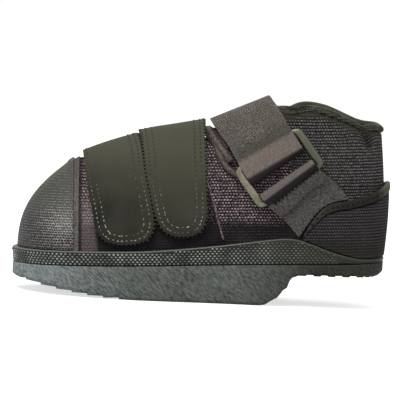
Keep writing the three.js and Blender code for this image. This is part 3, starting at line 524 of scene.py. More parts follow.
FOREFOOT_PAINTED_SHADOW = rgb(17, 14, 18)
KNIT_DUST = rgb(92, 84, 82)
WORN_KNIT = rgb(176, 158, 156)
GROOVE_PAINTED_SHADE = rgb(20, 17, 19)
FACING_COLOUR = rgb(50, 52, 39)
KNIT_JITTER = (1.1 * MM, 0.8 * MM, 0)
CREASE_SHADE = 0.75
CREASE_FULL = 3 * MM
CREASE_FALL = 2.2
OUTER_LIMIT = -5 * MM
FOLD_DARK = rgb(12, 11, 11)
FOOT_MIDDLE = 65 * MM


def lay_round(piece):
    """A UV map in metres: the run round the shoe from the heel, and the height over the last's floor."""
    layer = piece.data.uv_layers.new(name="cloth")
    quarter = ROUND_RADIUS * math.pi / 2
    for loop in piece.data.loops:
        spot = piece.data.vertices[loop.vertex_index].co - LAST_SHIFT
        side = -1 if spot.y < 0 else 1
        off_axis = abs(spot.y) + 1e-6
        if spot.x > HEEL_CENTRE:
            run = math.atan2(spot.x - HEEL_CENTRE, off_axis) * ROUND_RADIUS
        elif spot.x < TOE_CENTRE:
            run = TOE_CENTRE - HEEL_CENTRE - math.atan2(TOE_CENTRE - spot.x, off_axis) * ROUND_RADIUS
        else:
            run = spot.x - HEEL_CENTRE
        height = spot.z * math.cos(WEDGE_ANGLE) - spot.x * math.sin(WEDGE_ANGLE) - LAST_LIFT
        layer.data[loop.index].uv = (side * (quarter - run), height)


def vector_of(operation, first, second=(0, 0, 0)):
    made = node_after("ShaderNodeVectorMath", {0: first, 1: second}, operation=operation)
    return made.outputs["Value" if operation in ("DOT_PRODUCT", "LENGTH") else "Vector"]


# A warp knit is short threads laid like bricks: a height from 0 in the gaps to 1 on a thread.
KNIT_INPUTS = {"Vector": "Vector", "Column": "Float", "Row": "Float", "Joined": "Float"}
KNIT, enter, leave = new_group("knit", KNIT_INPUTS, "Thread")
jitter = node_after("ShaderNodeTexNoise", {"Vector": enter["Vector"], "Scale": 300.0, "Detail": 2.0})
shaken = vector_of("MULTIPLY", jitter.outputs["Color"], KNIT_JITTER)
moved = parts_of(vector_of("ADD", enter["Vector"], shaken))
row = math_of("DIVIDE", moved["Y"], enter["Row"])
column = math_of("DIVIDE", moved["X"], enter["Column"])
stagger = times(math_of("FLOORED_MODULO", math_of("FLOOR", row), 2.0), 0.5)
column = math_of("ADD", column, stagger)
over_row = ramp_of(math_of("PINGPONG", row, 0.5), 0.08, 0.42)
over_column = ramp_of(math_of("PINGPONG", column, 0.5), 0.05, 0.26)
over_column = math_of("MAXIMUM", over_column, enter["Joined"])
fed(leave, times(over_row, over_column))


def knit(vector, column, row, joined):
    return grouped(KNIT, {"Vector": vector, "Column": column, "Row": row, "Joined": joined})


def cloth_of(place):
    return node(place.id_data, "ShaderNodeUVMap", uv_map="cloth").outputs["UV"]


def kept_on(place, name):
    """What a piece's own attribute says at each place."""
    return node(place.id_data, "ShaderNodeAttribute", attribute_name=name).outputs["Fac"]


def beside(px, py):
    """Where a pixel of the photograph shows the outer side of the foot, near enough to place a colour."""
    return sight(px, py) + view_back * SIDE_DEPTH


def across_line(line):
    """The way to the lower right, square to the line through two pixels of the photograph."""
    run = beside(*line[1]) - beside(*line[0])
    return Vector((run.z, 0, -run.x)).normalized()


def below_line(place, line):
    """How far a place lies to the lower right of the line through two pixels of the photograph."""
    offset = vector_of("SUBTRACT", place, beside(*line[0]))
    return vector_of("DOT_PRODUCT", offset, across_line(line))


def beyond(place, line, blur):
    """0 on the left of the line through two pixels of the photograph, and 1 on its right."""
    return ramp_of(below_line(place, line), -blur, blur)


def cast_sight(skin, px, py):
    """Where the skin of a piece shows at a pixel of the photograph."""
    hit, normal, _, _ = skin.ray_cast(sight(px, py) + view_back * SIGHT_START, -view_back, SIGHT_REACH)
    return hit, normal


def piping(name, skin, sights, radius, sunk=0.3):
    """A thin cord sewn on along pixels of the photograph, lying half sunk in what it is sewn to."""
    curve = bpy.data.curves.new(name, "CURVE")
    curve.dimensions = "3D"
    curve.bevel_depth = radius
    curve.bevel_resolution = 2
    curve.resolution_u = 8
    curve.use_fill_caps = True
    spots = [(hit, normal) for hit, normal in (cast_sight(skin, *pixel) for pixel in sights) if hit]
    spline = curve.splines.new("NURBS")
    spline.points.add(len(spots) - 1)
    for point, (hit, normal) in zip(spline.points, spots):
        point.co = (*(hit + normal * radius * (1 - 2 * sunk)), 1)
    spline.order_u = 3
    spline.use_endpoint_u = True
    select_only(placed(name, curve))
    bpy.ops.object.convert(target="MESH")
    piece = bpy.context.object
    opened(piece)
    bpy.ops.mesh.remove_doubles(threshold=WELD)
    bpy.ops.mesh.normals_make_consistent(inside=False)
    bpy.ops.object.mode_set(mode="OBJECT")
    smooth(60)
    return piece


# A fold is darkened by the depth that creased() leaves on the piece.
FOLD_SHADE, enter, leave = new_group("fold_shade", {"Color": "Color", "Depth": "Float"}, "Color", "Color")
darkening = times(enter["Depth"], CREASE_SHADE)
fed(leave, mixed(darkening, enter["Color"], FOLD_DARK))


def in_folds(colour):
    return grouped(FOLD_SHADE, {"Color": colour, "Depth": kept_on(colour, "crease")})


def clamped(share):
    return max(0.0, min(1.0, share))


def way_out(spot):
    """Straight out from the middle of the foot."""
    return Vector((0, spot.y, spot.z - FOOT_MIDDLE)).normalized()


def creased(piece, folds):
    """Presses soft troughs into a piece, or raises ridges, along pixels of the photograph.

    A fold is its pixels, its half width and its depth, and a depth below 0 is a ridge. Only the outer side
    of the shoe moves, and the wall behind it moves with it. The depth is kept for the shade in the fold.
    """
    shade = piece.data.attributes.new("crease", "FLOAT", "POINT")
    for pixels, half_width, depth in folds:
        line = [sight(*pixel) for pixel in pixels]
        for vertex in piece.data.vertices:
            if vertex.co.y > OUTER_LIMIT:
                continue
            spot = vertex.co - view_back * vertex.co.dot(view_back)
            nearest = 1.0
            for a, b in zip(line, line[1:]):
                a = a - view_back * a.dot(view_back)
                b = b - view_back * b.dot(view_back)
                share = clamped((spot - a).dot(b - a) / (b - a).length_squared)
                nearest = min(nearest, (spot - a.lerp(b, share)).length)
            if nearest < half_width * 2:
                soft = math.exp(-CREASE_FALL * (nearest / half_width) ** 2)
                vertex.co -= way_out(vertex.co) * depth * soft
                shade.data[vertex.index].value += soft * max(0.0, depth) / CREASE_FULL
    piece.data.update()


upper_material, shader, place = new_material("spacer_mesh", roughness=0.9, specular=0.15)
cloth = cloth_of(place)
cloth_height = parts_of(cloth)["Y"]
panel_knit = knit(cloth, PANEL_COLUMN, PANEL_ROW, 0.0)
ribs = knit(cloth, RIB_COLUMN, RIB_ROW, 0.25)
is_quarter = beyond(place, ((300, 197), (268, 90)), 0.4 * MM)
threads = node_after("ShaderNodeMix", {0: is_quarter, 2: panel_knit, 3: ribs}).outputs[0]
uneven = noise(place, 900.0, 2.0)
spark = times(panel_knit, ramp_of(uneven, 0.40, 0.60, 0.08, 1.0))
panel_cloth = mixed(spark, PANEL_DARK, PANEL_THREAD)
rib_spark = times(ribs, ramp_of(uneven, 0.40, 0.60, 0.22, 1.0))
quarter_cloth = mixed(rib_spark, QUARTER_DARK, QUARTER_THREAD)
fabric = mixed(is_quarter, panel_cloth, quarter_cloth)
# Painted shade: the knit darkens low along the foot, near the lip.
low = ramp_of(cloth_height, 35.5 * MM, 28 * MM, 0.0, 0.9)
fabric = mixed(low, fabric, FOOT_PAINTED_SHADE)
# Painted shadow over the forefoot between the cap strip and the piped seam, where the straps shade it.
in_front = beyond(place, ((223, 239), (206, 176)), 0.5 * MM)
by_cap = beyond(place, ((98, 240), (90, 150)), 1.5 * MM)
forefoot_shadow = times(by_cap, rest_of(in_front))
fabric = mixed(times(forefoot_shadow, 0.72), fabric, FOREFOOT_PAINTED_SHADOW)
worn_low = times(ramp_of(cloth_height, 62 * MM, 40 * MM, 0.05, 0.4), uneven)
worn_low = times(worn_low, rest_of(by_cap))
fabric = mixed(worn_low, fabric, WORN_KNIT)
# Painted shade in the groove beside the cap's hem.
off_groove = beyond(place, ((83.5, 240), (83.5, 150)), 1.0 * MM)
fabric = mixed(times(rest_of(off_groove), 0.8), fabric, GROOVE_PAINTED_SHADE)
fabric = mixed(times(dust_and_glint_mask(place, 45.0), 0.12), fabric, KNIT_DUST)
by_collar = ramp_of(kept_on(place, "by_collar"), 0.3, 1.0)
fabric = mixed(by_collar, fabric, FACING_COLOUR)
painted(shader, in_folds(fabric), times(threads, rest_of(by_collar)), 0.5 * MM, 0.8)

upper = rounded(copy_of("upper"), 2, crease=0.6)
lay_round(upper)
creased(upper, (
    (((356, 114), (359, 124), (363, 134), (367, 144)), 3.4 * MM, 3.2 * MM),
    (((372, 122), (376, 142)), 6 * MM, -1.0 * MM),
    (((346, 122), (352, 140)), 7 * MM, -0.8 * MM),
    (((226, 226), (250, 229), (280, 231)), 7 * MM, 1.0 * MM),
    (((330, 196), (356, 190), (378, 186)), 6 * MM, 0.9 * MM),
))
finished(upper, upper_material, "mesh_fabric", "upper")
upper_skin = skin_of(upper)

seam_material, shader, place = new_material("piped_seam", roughness=0.85, specular=0.2)
fuzz = noise(place, 700.0, 3.0)
seam_tone = mixed(ramp_of(fuzz, 0.38, 0.62), SEAM_DARK, SEAM_THREAD)
painted(shader, seam_tone, fuzz, 0.25 * MM)
finished(piping("panel_piping", upper_skin, SEAM_SIGHTS, SEAM_RADIUS), seam_material, "mesh_fabric")


# Toe cap
# Open net over the toe box, pulled tight over a soft lining. Its shine where it bends is painted: a painted
# highlight low on the toe, painted shade away from it, a painted olive sheen over the top and a painted
# glint in the threads. Behind it a flat hem closes the seam with the upper.
NET_DARK = rgb(12, 10, 12)
NET_THREAD = rgb(184, 180, 177)
NET_ROW = 2.0 * MM
NET_COLUMN = 2.2 * MM
NET_GLOW = (66, 222)
NET_SHADE = rgb(30, 29, 29)
NET_SHINE = rgb(150, 146, 142)
NET_TOP_SHEEN = rgb(78, 80, 65)
HEM_DARK = rgb(66, 61, 60)
HEM_LIGHT = rgb(112, 106, 100)
HEM_TOP = rgb(52, 53, 42)
HEM_COLUMNS = (73.0, 80.4)
HEM_THICKNESS = 1.1 * MM
HEM_AXIS = 45 * MM


def strip_of(name, source, low_x, high_x, thickness):
    """The outward skin of a piece between two cuts across the shoe, thickened to a strip laid on it."""
    piece = source.copy()
    piece.data = source.data.copy()
    piece.name = name
    bpy.context.scene.collection.objects.link(piece)
    opened(piece)
    for edge_x, clears_low in ((low_x, True), (high_x, False)):
        bpy.ops.mesh.select_all(action="SELECT")
        bpy.ops.mesh.bisect(plane_co=from_last((edge_x, 0, 0)), plane_no=turned((1, 0, 0)),
                            clear_inner=clears_low, clear_outer=not clears_low)
    bpy.ops.object.mode_set(mode="OBJECT")
    mesh = bmesh.new()
    mesh.from_mesh(piece.data)
    inward = []
    for face in mesh.faces:
        middle = face.calc_center_median()
        outward = Vector((0, middle.y, middle.z - HEM_AXIS))
        if face.normal.dot(outward) < 0 or abs(face.normal.x) > 0.9:
            inward.append(face)
    bmesh.ops.delete(mesh, geom=inward, context="FACES")
    mesh.to_mesh(piece.data)
    mesh.free()
    modified(piece, "SOLIDIFY", thickness=thickness, offset=0.6)
    modified(piece, "BEVEL", width=thickness * 0.35, segments=2, angle_limit=math.radians(50))
    smooth(50)
    return piece


cap_material, shader, place = new_material("open_net", roughness=0.5, specular=0.45)
cloth = cloth_of(place)
side_net = knit(cloth, NET_COLUMN, NET_ROW, 0.0)
top_net = knit(place, NET_COLUMN, NET_ROW, 0.0)
on_top = ramp_of(facing_up(place), 0.66, 0.80)
net = node_after("ShaderNodeMix", {0: on_top, 2: side_net, 3: top_net}).outputs[0]
net = rest_of(ramp_of(net, 0.02, 0.36))
# Painted glint: the threads brighten and dim in patches.
net = times(net, ramp_of(noise(place, 620.0, 2.0), 0.38, 0.58, 0.2, 1.0))
net_colour = mixed(net, NET_DARK, NET_THREAD)
height = parts_of(cloth)["Y"]
# Painted highlight round one spot low on the toe, and painted shade away from it.
off_glow = vector_of("SUBTRACT", place, beside(*NET_GLOW))
off_glow = vector_of("LENGTH", vector_of("MULTIPLY", off_glow, (1, 0, 1)))
net_colour = mixed(ramp_of(off_glow, 9 * MM, 25 * MM, 0.0, 0.66), net_colour, NET_SHADE)
net_colour = mixed(ramp_of(off_glow, 14 * MM, 2 * MM, 0.0, 0.3), net_colour, NET_SHINE)
# Painted olive sheen over the top of the toe.
net_colour = mixed(ramp_of(height, 32 * MM, 46 * MM, 0.0, 0.5), net_colour, NET_TOP_SHEEN)
painted(shader, in_folds(net_colour), net, 0.45 * MM, 0.8)
toe_cap = rounded(copy_of("toe_cap"), 2, crease=0.5)
lay_round(toe_cap)
creased(toe_cap, ((((40, 232), (58, 236), (70, 240)), 5 * MM, 0.7 * MM),
                  (((62, 176), (48, 190), (34, 204)), 4 * MM, 0.5 * MM)))
finished(toe_cap, cap_material, "cap_mesh", "toe_cap")

hem_material, shader, place = new_material("net_hem", roughness=0.7, specular=0.3)
weave = noise(place, 900.0, 3.0)
high = fade(place, "Z", 0.075, 0.10, 0.0, 0.5)
hem_tone = mixed(ramp_of(weave, 0.36, 0.64), HEM_DARK, HEM_LIGHT)
hem_tone = mixed(high, hem_tone, HEM_TOP)
painted(shader, hem_tone, weave, 0.3 * MM)
hem_front, hem_back = ((px - MIDDLE_PIXEL.x) * PIXEL for px in HEM_COLUMNS)
finished(strip_of("cap_hem", upper, hem_front, hem_back, HEM_THICKNESS), hem_material, "cap_mesh")


# Forefoot straps
# Two stiff strips of dense felted cloth with a padded middle. Their edges are pinked in small teeth, and two
# rows of pale stitches run inside the edge, where the cloth lies flatter.
FELT_LIT_TOP = rgb(78, 77, 64)
FELT_SHADED_LOW = rgb(42, 42, 36)
FELT_CURVE_SHADE = rgb(30, 31, 27)
FELT_WORN = rgb(88, 84, 74)
FELT_FIBRE = rgb(34, 34, 30)
THREAD_SOILED = rgb(46, 45, 38)
THREAD_CLEAN = rgb(158, 152, 136)
RIM_ANGLE = math.radians(50)
RIM_LIMIT = 5000
TOOTH_PITCH = 3.3 * MM
TOOTH_HALF = Vector((1.95, 1.9, 1.0)) * MM
TOOTH_SUNK = 1.25 * MM
TOOTH_REACH = 0.1 * MM
STRAP_MIDDLES = {"strap_front": ((109, 143), (126, 240)), "strap_rear": ((172, 124), (184, 238))}
PLAIN_EDGE = -0.8
FRONT_HOLLOW = 0.15
STRAP_SPREADS = {"strap_front": (-0.07, 0.11), "strap_rear": (0.07, 0.0)}
FOOT_SPREAD = 0.2
STITCH_ROWS = (3.0 * MM, 7.6 * MM)
STITCH_PITCH = 3.7 * MM
STITCH_HALF = Vector((0.95, 0.52, 0.45)) * MM
STITCH_BOW = 0.35 * MM
STITCH_RISE = 0.1 * MM
LEAST_OUTWARD = 0.2


def rim_of(piece):
    """The loop of edge points round the outward face of a sheet."""
    mesh = bmesh.new()
    mesh.from_mesh(piece.data)
    mesh.faces.ensure_lookup_table()
    regions, seen = [], set()
    for seed in mesh.faces:
        if seed.index in seen:
            continue
        region, queue = [], [seed]
        seen.add(seed.index)
        while queue:
            face = queue.pop()
            region.append(face)
            for edge in face.edges:
                if len(edge.link_faces) != 2 or edge.calc_face_angle() > RIM_ANGLE:
                    continue
                for other in edge.link_faces:
                    if other.index not in seen:
                        seen.add(other.index)
                        queue.append(other)
        regions.append(region)

    def outwardness(region):
        return sum(face.calc_area() * face.normal.dot(way_out(face.calc_center_median())) for face in region)

    region = max(regions, key=outwardness)
    inside = {face.index for face in region}
    follow = {}
    for face in region:
        for loop in face.loops:
            if any(other.index not in inside for other in loop.edge.link_faces):
                follow[loop.vert.index] = loop.link_loop_next.vert.index
    mesh.verts.ensure_lookup_table()
    start = next(iter(follow))
    path, here = [start], follow[start]
    while here != start and here in follow and len(path) < RIM_LIMIT:
        path.append(here)
        here = follow[here]
    points = [mesh.verts[i].co.copy() for i in path]
    mesh.free()
    return points


def spaced(points, pitch):
    """Even steps along a closed loop: a place and a forward way for each."""
    lengths = [(points[(i + 1) % len(points)] - points[i]).length for i in range(len(points))]
    total = sum(lengths)
    count = max(3, round(total / pitch))
    steps, i, walked = [], 0, 0.0
    for k in range(count):
        goal = total * k / count
        while walked + lengths[i] < goal:
            walked += lengths[i]
            i += 1
        a, b = points[i], points[(i + 1) % len(points)]
        steps.append((a.lerp(b, (goal - walked) / max(lengths[i], 1e-9)), (b - a).normalized()))
    return steps


def new_tooth():
    """One pinked tooth: a flat three-cornered wedge, its point along Y."""
    bpy.ops.mesh.primitive_cylinder_add(vertices=3, radius=1.0, depth=1.6, location=(0, 0, 0))
    return shaped(TOOTH_HALF, bevel=0.15 * MM)


def new_stitch():
    """One stitch of thick thread along X, its ends drawn down into the cloth."""
    bpy.ops.mesh.primitive_uv_sphere_add(segments=8, ring_count=5, radius=1.0, location=(0, 0, 0))
    stitch = shaped(STITCH_HALF)
    for vertex in stitch.data.vertices:
        vertex.co.z -= STITCH_BOW * (vertex.co.x / STITCH_HALF.x) ** 2
    return stitch


def stitch_seats(steps, skin, inset):
    seats = []
    for spot, forward in steps:
        out = forward.cross(way_out(spot)).normalized()
        hit, normal, _, _ = skin.find_nearest(spot - out * inset)
        if normal.dot(way_out(spot)) > LEAST_OUTWARD:
            seats.append(seat(hit + normal * STITCH_RISE, forward, normal))
    return seats


felt_material, shader, place = new_material("felted_strap", roughness=0.9, specular=0.12)
fibre = noise(place, 1500.0, 5.0, 0.7)
cloud = noise(place, 30.0, 4.0)
# Painted light: the felt is lighter at the top and darker low down.
felt = mixed(fade(place, "Z", 0.045, 0.115), FELT_SHADED_LOW, FELT_LIT_TOP)
# Painted shade where the front strap curves away, low towards the toe.
toeward = fade(place, "X", -34 * MM, -50 * MM)
curving_away_shade = times(toeward, fade(place, "Z", 108 * MM, 66 * MM, 0.0, 0.8))
felt = mixed(curving_away_shade, felt, FELT_CURVE_SHADE)
felt = mixed(ramp_of(cloud, 0.4, 0.7, 0.0, 0.28), felt, FELT_WORN)
felt = mixed(ramp_of(fibre, 0.35, 0.65, 0.0, 0.35), felt, FELT_FIBRE)
painted(shader, felt, fibre, 0.3 * MM, 0.8)

thread_material, shader, place = new_material("sewing_thread", roughness=0.7, specular=0.3)
worn = ramp_of(noise(place, 160.0, 3.0), 0.36, 0.62)
low = fade(place, "Z", 0.105, 0.06)
thread = mixed(times(worn, low), THREAD_SOILED, THREAD_CLEAN)
painted(shader, thread, noise(place, 2200.0), 0.1 * MM)

for strap_node in STRAP_MIDDLES:
    strap = copy_of(strap_node)
    top, foot = (sight(*pixel) for pixel in STRAP_MIDDLES[strap_node])
    for vertex in strap.data.vertices:
        share = (vertex.co.z - foot.z) / (top.z - foot.z)
        offset = vertex.co.x - foot.lerp(top, share).x
        spread = STRAP_SPREADS[strap_node][offset > 0] * (FOOT_SPREAD + (1 - FOOT_SPREAD) * share)
        if strap_node == "strap_front" and offset < 0:
            spread -= FRONT_HOLLOW * math.sin(math.pi * clamped(share))
        vertex.co.x += offset * spread
    rim = rim_of(strap)
    rounded(strap, 2, crease=0.55)
    finished(strap, felt_material, "strap_felt", strap_node)
    strap_skin = skin_of(strap)
    tooth_seats = []
    for spot, forward in spaced(rim, TOOTH_PITCH):
        outward = forward.cross(way_out(spot)).normalized()
        if strap_node == "strap_front" and outward.x < PLAIN_EDGE:
            continue
        lifted = outward.cross(forward).normalized()
        tooth_seats.append(seat(spot - lifted * TOOTH_SUNK + outward * TOOTH_REACH, -forward, lifted))
    finished(strewn(strap_node + "_pinking", new_tooth(), tooth_seats, 20), felt_material, "strap_felt")
    seats = []
    for inset in STITCH_ROWS:
        seats += stitch_seats(spaced(rim, STITCH_PITCH), strap_skin, inset)
    finished(strewn(strap_node + "_stitches", new_stitch(), seats), thread_material, "strap_felt")


# Collar
# A soft roll of smooth padded cloth, sewn along the top of the quarters and folded over at the back corner.
# Only its top edge shows the cloth plain. Below that the ribs of the quarter run on over it.
COLLAR_DARK = rgb(42, 44, 32)
COLLAR_LIGHT = rgb(72, 74, 56)
COLLAR_NAP = rgb(46, 47, 36)
COLLAR_RIB = rgb(98, 96, 86)
COLLAR_FRONT = 92 * MM
COLLAR_EASE = 22 * MM
COLLAR_REACH = 5.5 * MM
COLLAR_DROP = 5 * MM
COLLAR_PRESS = 0.6
COLLAR_STEEPEST = 0.6
EDGE_CELL = 2.5 * MM
EDGE_WIDTH = 5.5 * MM
FACING_WIDTH = 1.0 * MM
FACING_BLUR = 7.0 * MM
FACING_PADDING = 1.4 * MM

collar_material, shader, place = new_material("collar_cloth", roughness=0.7, specular=0.25)
fold = noise(place, 70.0, 3.0)
nap = noise(place, 1100.0, 3.0)
cloth_tone = mixed(ramp_of(fold, 0.35, 0.65), COLLAR_DARK, COLLAR_LIGHT)
cloth_tone = mixed(times(nap, 0.4), cloth_tone, COLLAR_NAP)
cloth = cloth_of(place)
ribs = knit(cloth, RIB_COLUMN, RIB_ROW, 0.25)
rib_tone = mixed(ribs, QUARTER_DARK, COLLAR_RIB)
by_edge = kept_on(place, "by_edge")
cloth_tone = mixed(ramp_of(by_edge, 0.2, 0.75), rib_tone, cloth_tone)
painted(shader, in_folds(cloth_tone), nap, 0.25 * MM)
collar = rounded(copy_of("collar"), 2, sharp_angle=80)
lay_round(collar)
collar_tops = {}
for vertex in collar.data.vertices:
    cell = round(vertex.co.x / EDGE_CELL), vertex.co.y > 0
    collar_tops[cell] = max(collar_tops.get(cell, 0.0), vertex.co.z)
edge_share = collar.data.attributes.new("by_edge", "FLOAT", "POINT")
for vertex in collar.data.vertices:
    below = collar_tops[round(vertex.co.x / EDGE_CELL), vertex.co.y > 0] - vertex.co.z
    edge_share.data[vertex.index].value = max(0.0, 1 - below / EDGE_WIDTH)
    wall, normal, _, _ = upper_skin.find_nearest(vertex.co)
    outside = (vertex.co - wall).dot(normal)
    if outside > 0 and abs(normal.z) < COLLAR_STEEPEST:
        vertex.co -= normal * outside * COLLAR_PRESS
    front = clamped((COLLAR_FRONT - vertex.co.x) / COLLAR_EASE)
    vertex.co.x -= COLLAR_REACH * front
    vertex.co.z -= COLLAR_DROP * front ** 3
creased(collar, ((((350, 108), (356, 117), (362, 128)), 3.6 * MM, 1.8 * MM),))
finished(collar, collar_material, "collar_cloth", "collar")

# Below the roll its cloth is turned down over the quarter and padded out, so the upper swells to meet it.
collar_skin = skin_of(collar)
facing_share = upper.data.attributes.new("by_collar", "FLOAT", "POINT")
for vertex in upper.data.vertices:
    _, _, _, distance = collar_skin.find_nearest(vertex.co)
    share = clamped((FACING_WIDTH + FACING_BLUR - distance) / FACING_BLUR)
    facing_share.data[vertex.index].value = share
    vertex.co += Vector((0, vertex.co.y, 0)).normalized() * FACING_PADDING * share


# Heel counter and its bound edge
# A padded patch of the ribbed mesh round the heel. A brown binding sewn through small holes closes its top,
# and an olive cord is piped along the patch at the back.
ROLL_SIGHTS = ((213, 138), (216, 146), (218.5, 154), (222, 162), (227, 169), (233, 174), (239, 176.5))
ROLL_RADIUS = 2.7 * MM
KNOT_COLUMNS = range(306, 382, 5)
KNOT_SEARCH = range(370, 490)
KNOT_RADIUS = 0.8 * MM
COUNTER_DARK = rgb(20, 19, 21)
COUNTER_THREAD = rgb(84, 80, 80)
COUNTER_LOW_SHADE = rgb(42, 42, 32)
COUNTER_DUST = rgb(88, 84, 78)
BINDING_DARK = rgb(34, 30, 27)
BINDING_LIGHT = rgb(66, 58, 51)
BINDING_REAR_SHADOW = rgb(25, 23, 21)
CORD_OLIVE = rgb(84, 86, 62)
ROLL_DARK = rgb(46, 40, 38)
ROLL_LIGHT = rgb(96, 84, 79)
KNOT_DARK = rgb(14, 12, 11)

counter_material, shader, place = new_material("counter_mesh", roughness=0.9, specular=0.15)
cloth = cloth_of(place)
ribs = knit(cloth, RIB_COLUMN, RIB_ROW, 0.3)
uneven = noise(place, 900.0, 2.0)
rib_spark = times(ribs, ramp_of(uneven, 0.35, 0.65, 0.5, 1.0))
fabric = mixed(rib_spark, COUNTER_DARK, COUNTER_THREAD)
# Painted shade: the ribs darken low on the patch, near the lip.
fabric = mixed(fade(cloth, "Y", 18 * MM, 8 * MM, 0.0, 0.55), fabric, COUNTER_LOW_SHADE)
fabric = mixed(times(dust_and_glint_mask(place, 50.0), 0.12), fabric, COUNTER_DUST)
painted(shader, in_folds(fabric), ribs, 0.5 * MM, 0.8)
counter = rounded(copy_of("heel_counter"), 2, crease=0.4)
lay_round(counter)
creased(counter, ((((318, 214), (340, 206), (372, 202)), 5 * MM, 0.9 * MM),
                  (((312, 246), (340, 250), (372, 252)), 8 * MM, 0.8 * MM)))
finished(counter, counter_material, "mesh_fabric", "heel_counter")

binding_material, shader, place = new_material("bound_edge", roughness=0.75, specular=0.25)
grain = noise(place, 600.0, 4.0)
brown = mixed(ramp_of(grain, 0.36, 0.64), BINDING_DARK, BINDING_LIGHT)
# Painted shadow at the rear, under the bulge of the quarter.
brown = mixed(fade(place, "X", 0.090, 0.106, 0.0, 0.85), brown, BINDING_REAR_SHADOW)
brown = mixed(fade(place, "X", 0.134, 0.140, 0.0, 0.7), brown, CORD_OLIVE)
painted(shader, brown, grain, 0.3 * MM)
binding = rounded(copy_of("counter_binding"), 2, crease=0.25)
finished(binding, binding_material, "bound_edge", "counter_binding")

# The instep pad is the folded brown edge of the tongue side, mottled dark and pale by a fine grain.
pad_material, shader, place = new_material("instep_roll", roughness=0.6, specular=0.35)
grain = noise(place, 500.0, 4.0)
rolled = mixed(ramp_of(grain, 0.36, 0.64), ROLL_DARK, ROLL_LIGHT)
painted(shader, rolled, grain, 0.25 * MM)
pad = rounded(copy_of("instep_pad"), 2, crease=0.3)
finished(pad, pad_material, "bound_edge", "instep_pad")

# Towards the ring the fold narrows to a roll that hooks round under the strap.
roll = piping("instep_fold", upper_skin, ROLL_SIGHTS, ROLL_RADIUS, sunk=0.2)
finished(roll, pad_material, "bound_edge")

# The awl's holes along the binding are shown by the sunk dark knots of its thread; their near-black is
# partly painted shade in the holes.
binding_skin = skin_of(binding)
bpy.ops.mesh.primitive_uv_sphere_add(segments=8, ring_count=6, radius=KNOT_RADIUS, location=(0, 0, 0))
knot = shaped((1.0, 1.0, 0.45))
knot_seats = []
for px in KNOT_COLUMNS:
    shown = [cast_sight(binding_skin, px, half / 2) for half in KNOT_SEARCH]
    shown = [(hit, normal) for hit, normal in shown if hit and hit.y < 0 and normal.y < -0.3]
    if shown:
        hit, normal = shown[len(shown) // 2]
        knot_seats.append(seat(hit, view_right, normal))
knot_and_shade_material, shader, place = new_material("dark_knot_and_shade", roughness=0.9, specular=0.1)
painted(shader, mixed(noise(place, 1500.0), KNOT_DARK, BINDING_DARK))
finished(strewn("binding_knots", knot, knot_seats), knot_and_shade_material, "bound_edge")


# Ring
# A rectangle of thick wire in a glossy olive coat, with painted pale highlights in patches and painted shade
# towards the heel. The ankle strap is folded round its upper bar and the anchor's tape round its lower bar.
RING_OLIVE = rgb(110, 109, 88)
RING_HIGHLIGHT = rgb(152, 149, 128)
RING_REAR_SHADE = rgb(76, 79, 58)
RING_CENTRE = from_last(Vector((60.39, -39.71, 73.72)) * MM)
RING_ALONG = turned((0.822, 0.009, 0.569))
RING_HALF_LENGTH = 27.65 * MM
RING_FLAT = 3.2 * MM
RING_SPREAD = 0.6
RING_EASE = 1 * MM

ring_material, shader, place = new_material("coated_wire", roughness=0.34, metallic=0.15, coat=0.35)
# Painted highlight: pale patches on the coat.
highlight_patches = dust_and_glint_mask(place, 190.0)
olive = mixed(highlight_patches, RING_OLIVE, RING_HIGHLIGHT)
# Painted shade towards the heel end.
olive = mixed(fade(place, "X", 0.055, 0.078), olive, RING_REAR_SHADE)
painted(shader, olive)
ring = rounded(copy_of("ring"), 2, sharp_angle=80)
for vertex in ring.data.vertices:
    offset = vertex.co - RING_CENTRE
    along = offset.dot(RING_ALONG)
    past = abs(along) - (RING_HALF_LENGTH - RING_FLAT)
    off_bar = along - math.copysign(RING_HALF_LENGTH, along)
    vertex.co += RING_ALONG * off_bar * RING_SPREAD * clamped(past / RING_EASE)
finished(ring, ring_material, "ring_metal", "ring")


# Webbing of the ankle strap and of the ring's anchor
# Heavy woven tape with a fine dry grain. Where it is folded over the bars of the ring it carries a painted
# highlight, and painted shade lies in the hollow beside each fold. The cut end of the anchor's fold is
# pinked and sewn down.
FOLD_TOP = ((236, 165), (295, 131))
FOLD_DROP = 9 * MM
FOLD_START = -9 * MM
FOLD_EASE = 12 * MM
FOLD_CORE = 12.3 * MM
ANCHOR_FOLD_TOP = ((259, 194.5), (311.6, 155.5))
ANCHOR_FOLD_RISE = 3.5 * MM
ANCHOR_FOLD_END = 12 * MM
ANCHOR_FOLD_EASE = 8 * MM
ANCHOR_FOLD_DEPTH = 7.2 * MM
ANCHOR_DARK_DEPTH = 11.0 * MM
CUT_EDGE = ((272.6, 204), (316.8, 169))
CUT_PITCH = 3.2 * MM
CUT_RISE = 0.3 * MM
TAPE_RELIEF = 0.3 * MM
GRAIN_PITCH = 1.15 * MM
YARN_WAYS = ((0.6, 0.5, -0.62), (0.75, -0.2, 0.62))
YARN_SHARE = 0.16
WEB_DARK = rgb(30, 28, 26)
WEB_LIGHT = rgb(122, 114, 108)
WEB_SOILED = rgb(66, 68, 56)
WEB_FOLD_HIGHLIGHT = rgb(136, 120, 114)
WEB_GROOVE_SHADE = rgb(54, 52, 46)
WEB_UNDER_FOLD_SHADOW = rgb(26, 21, 25)
ANCHOR_DARK = rgb(26, 25, 24)
ANCHOR_LIGHT = rgb(108, 104, 101)
ANCHOR_FOLD = rgb(122, 110, 105)
ANCHOR_HOLLOW_SHADOW = rgb(20, 16, 18)

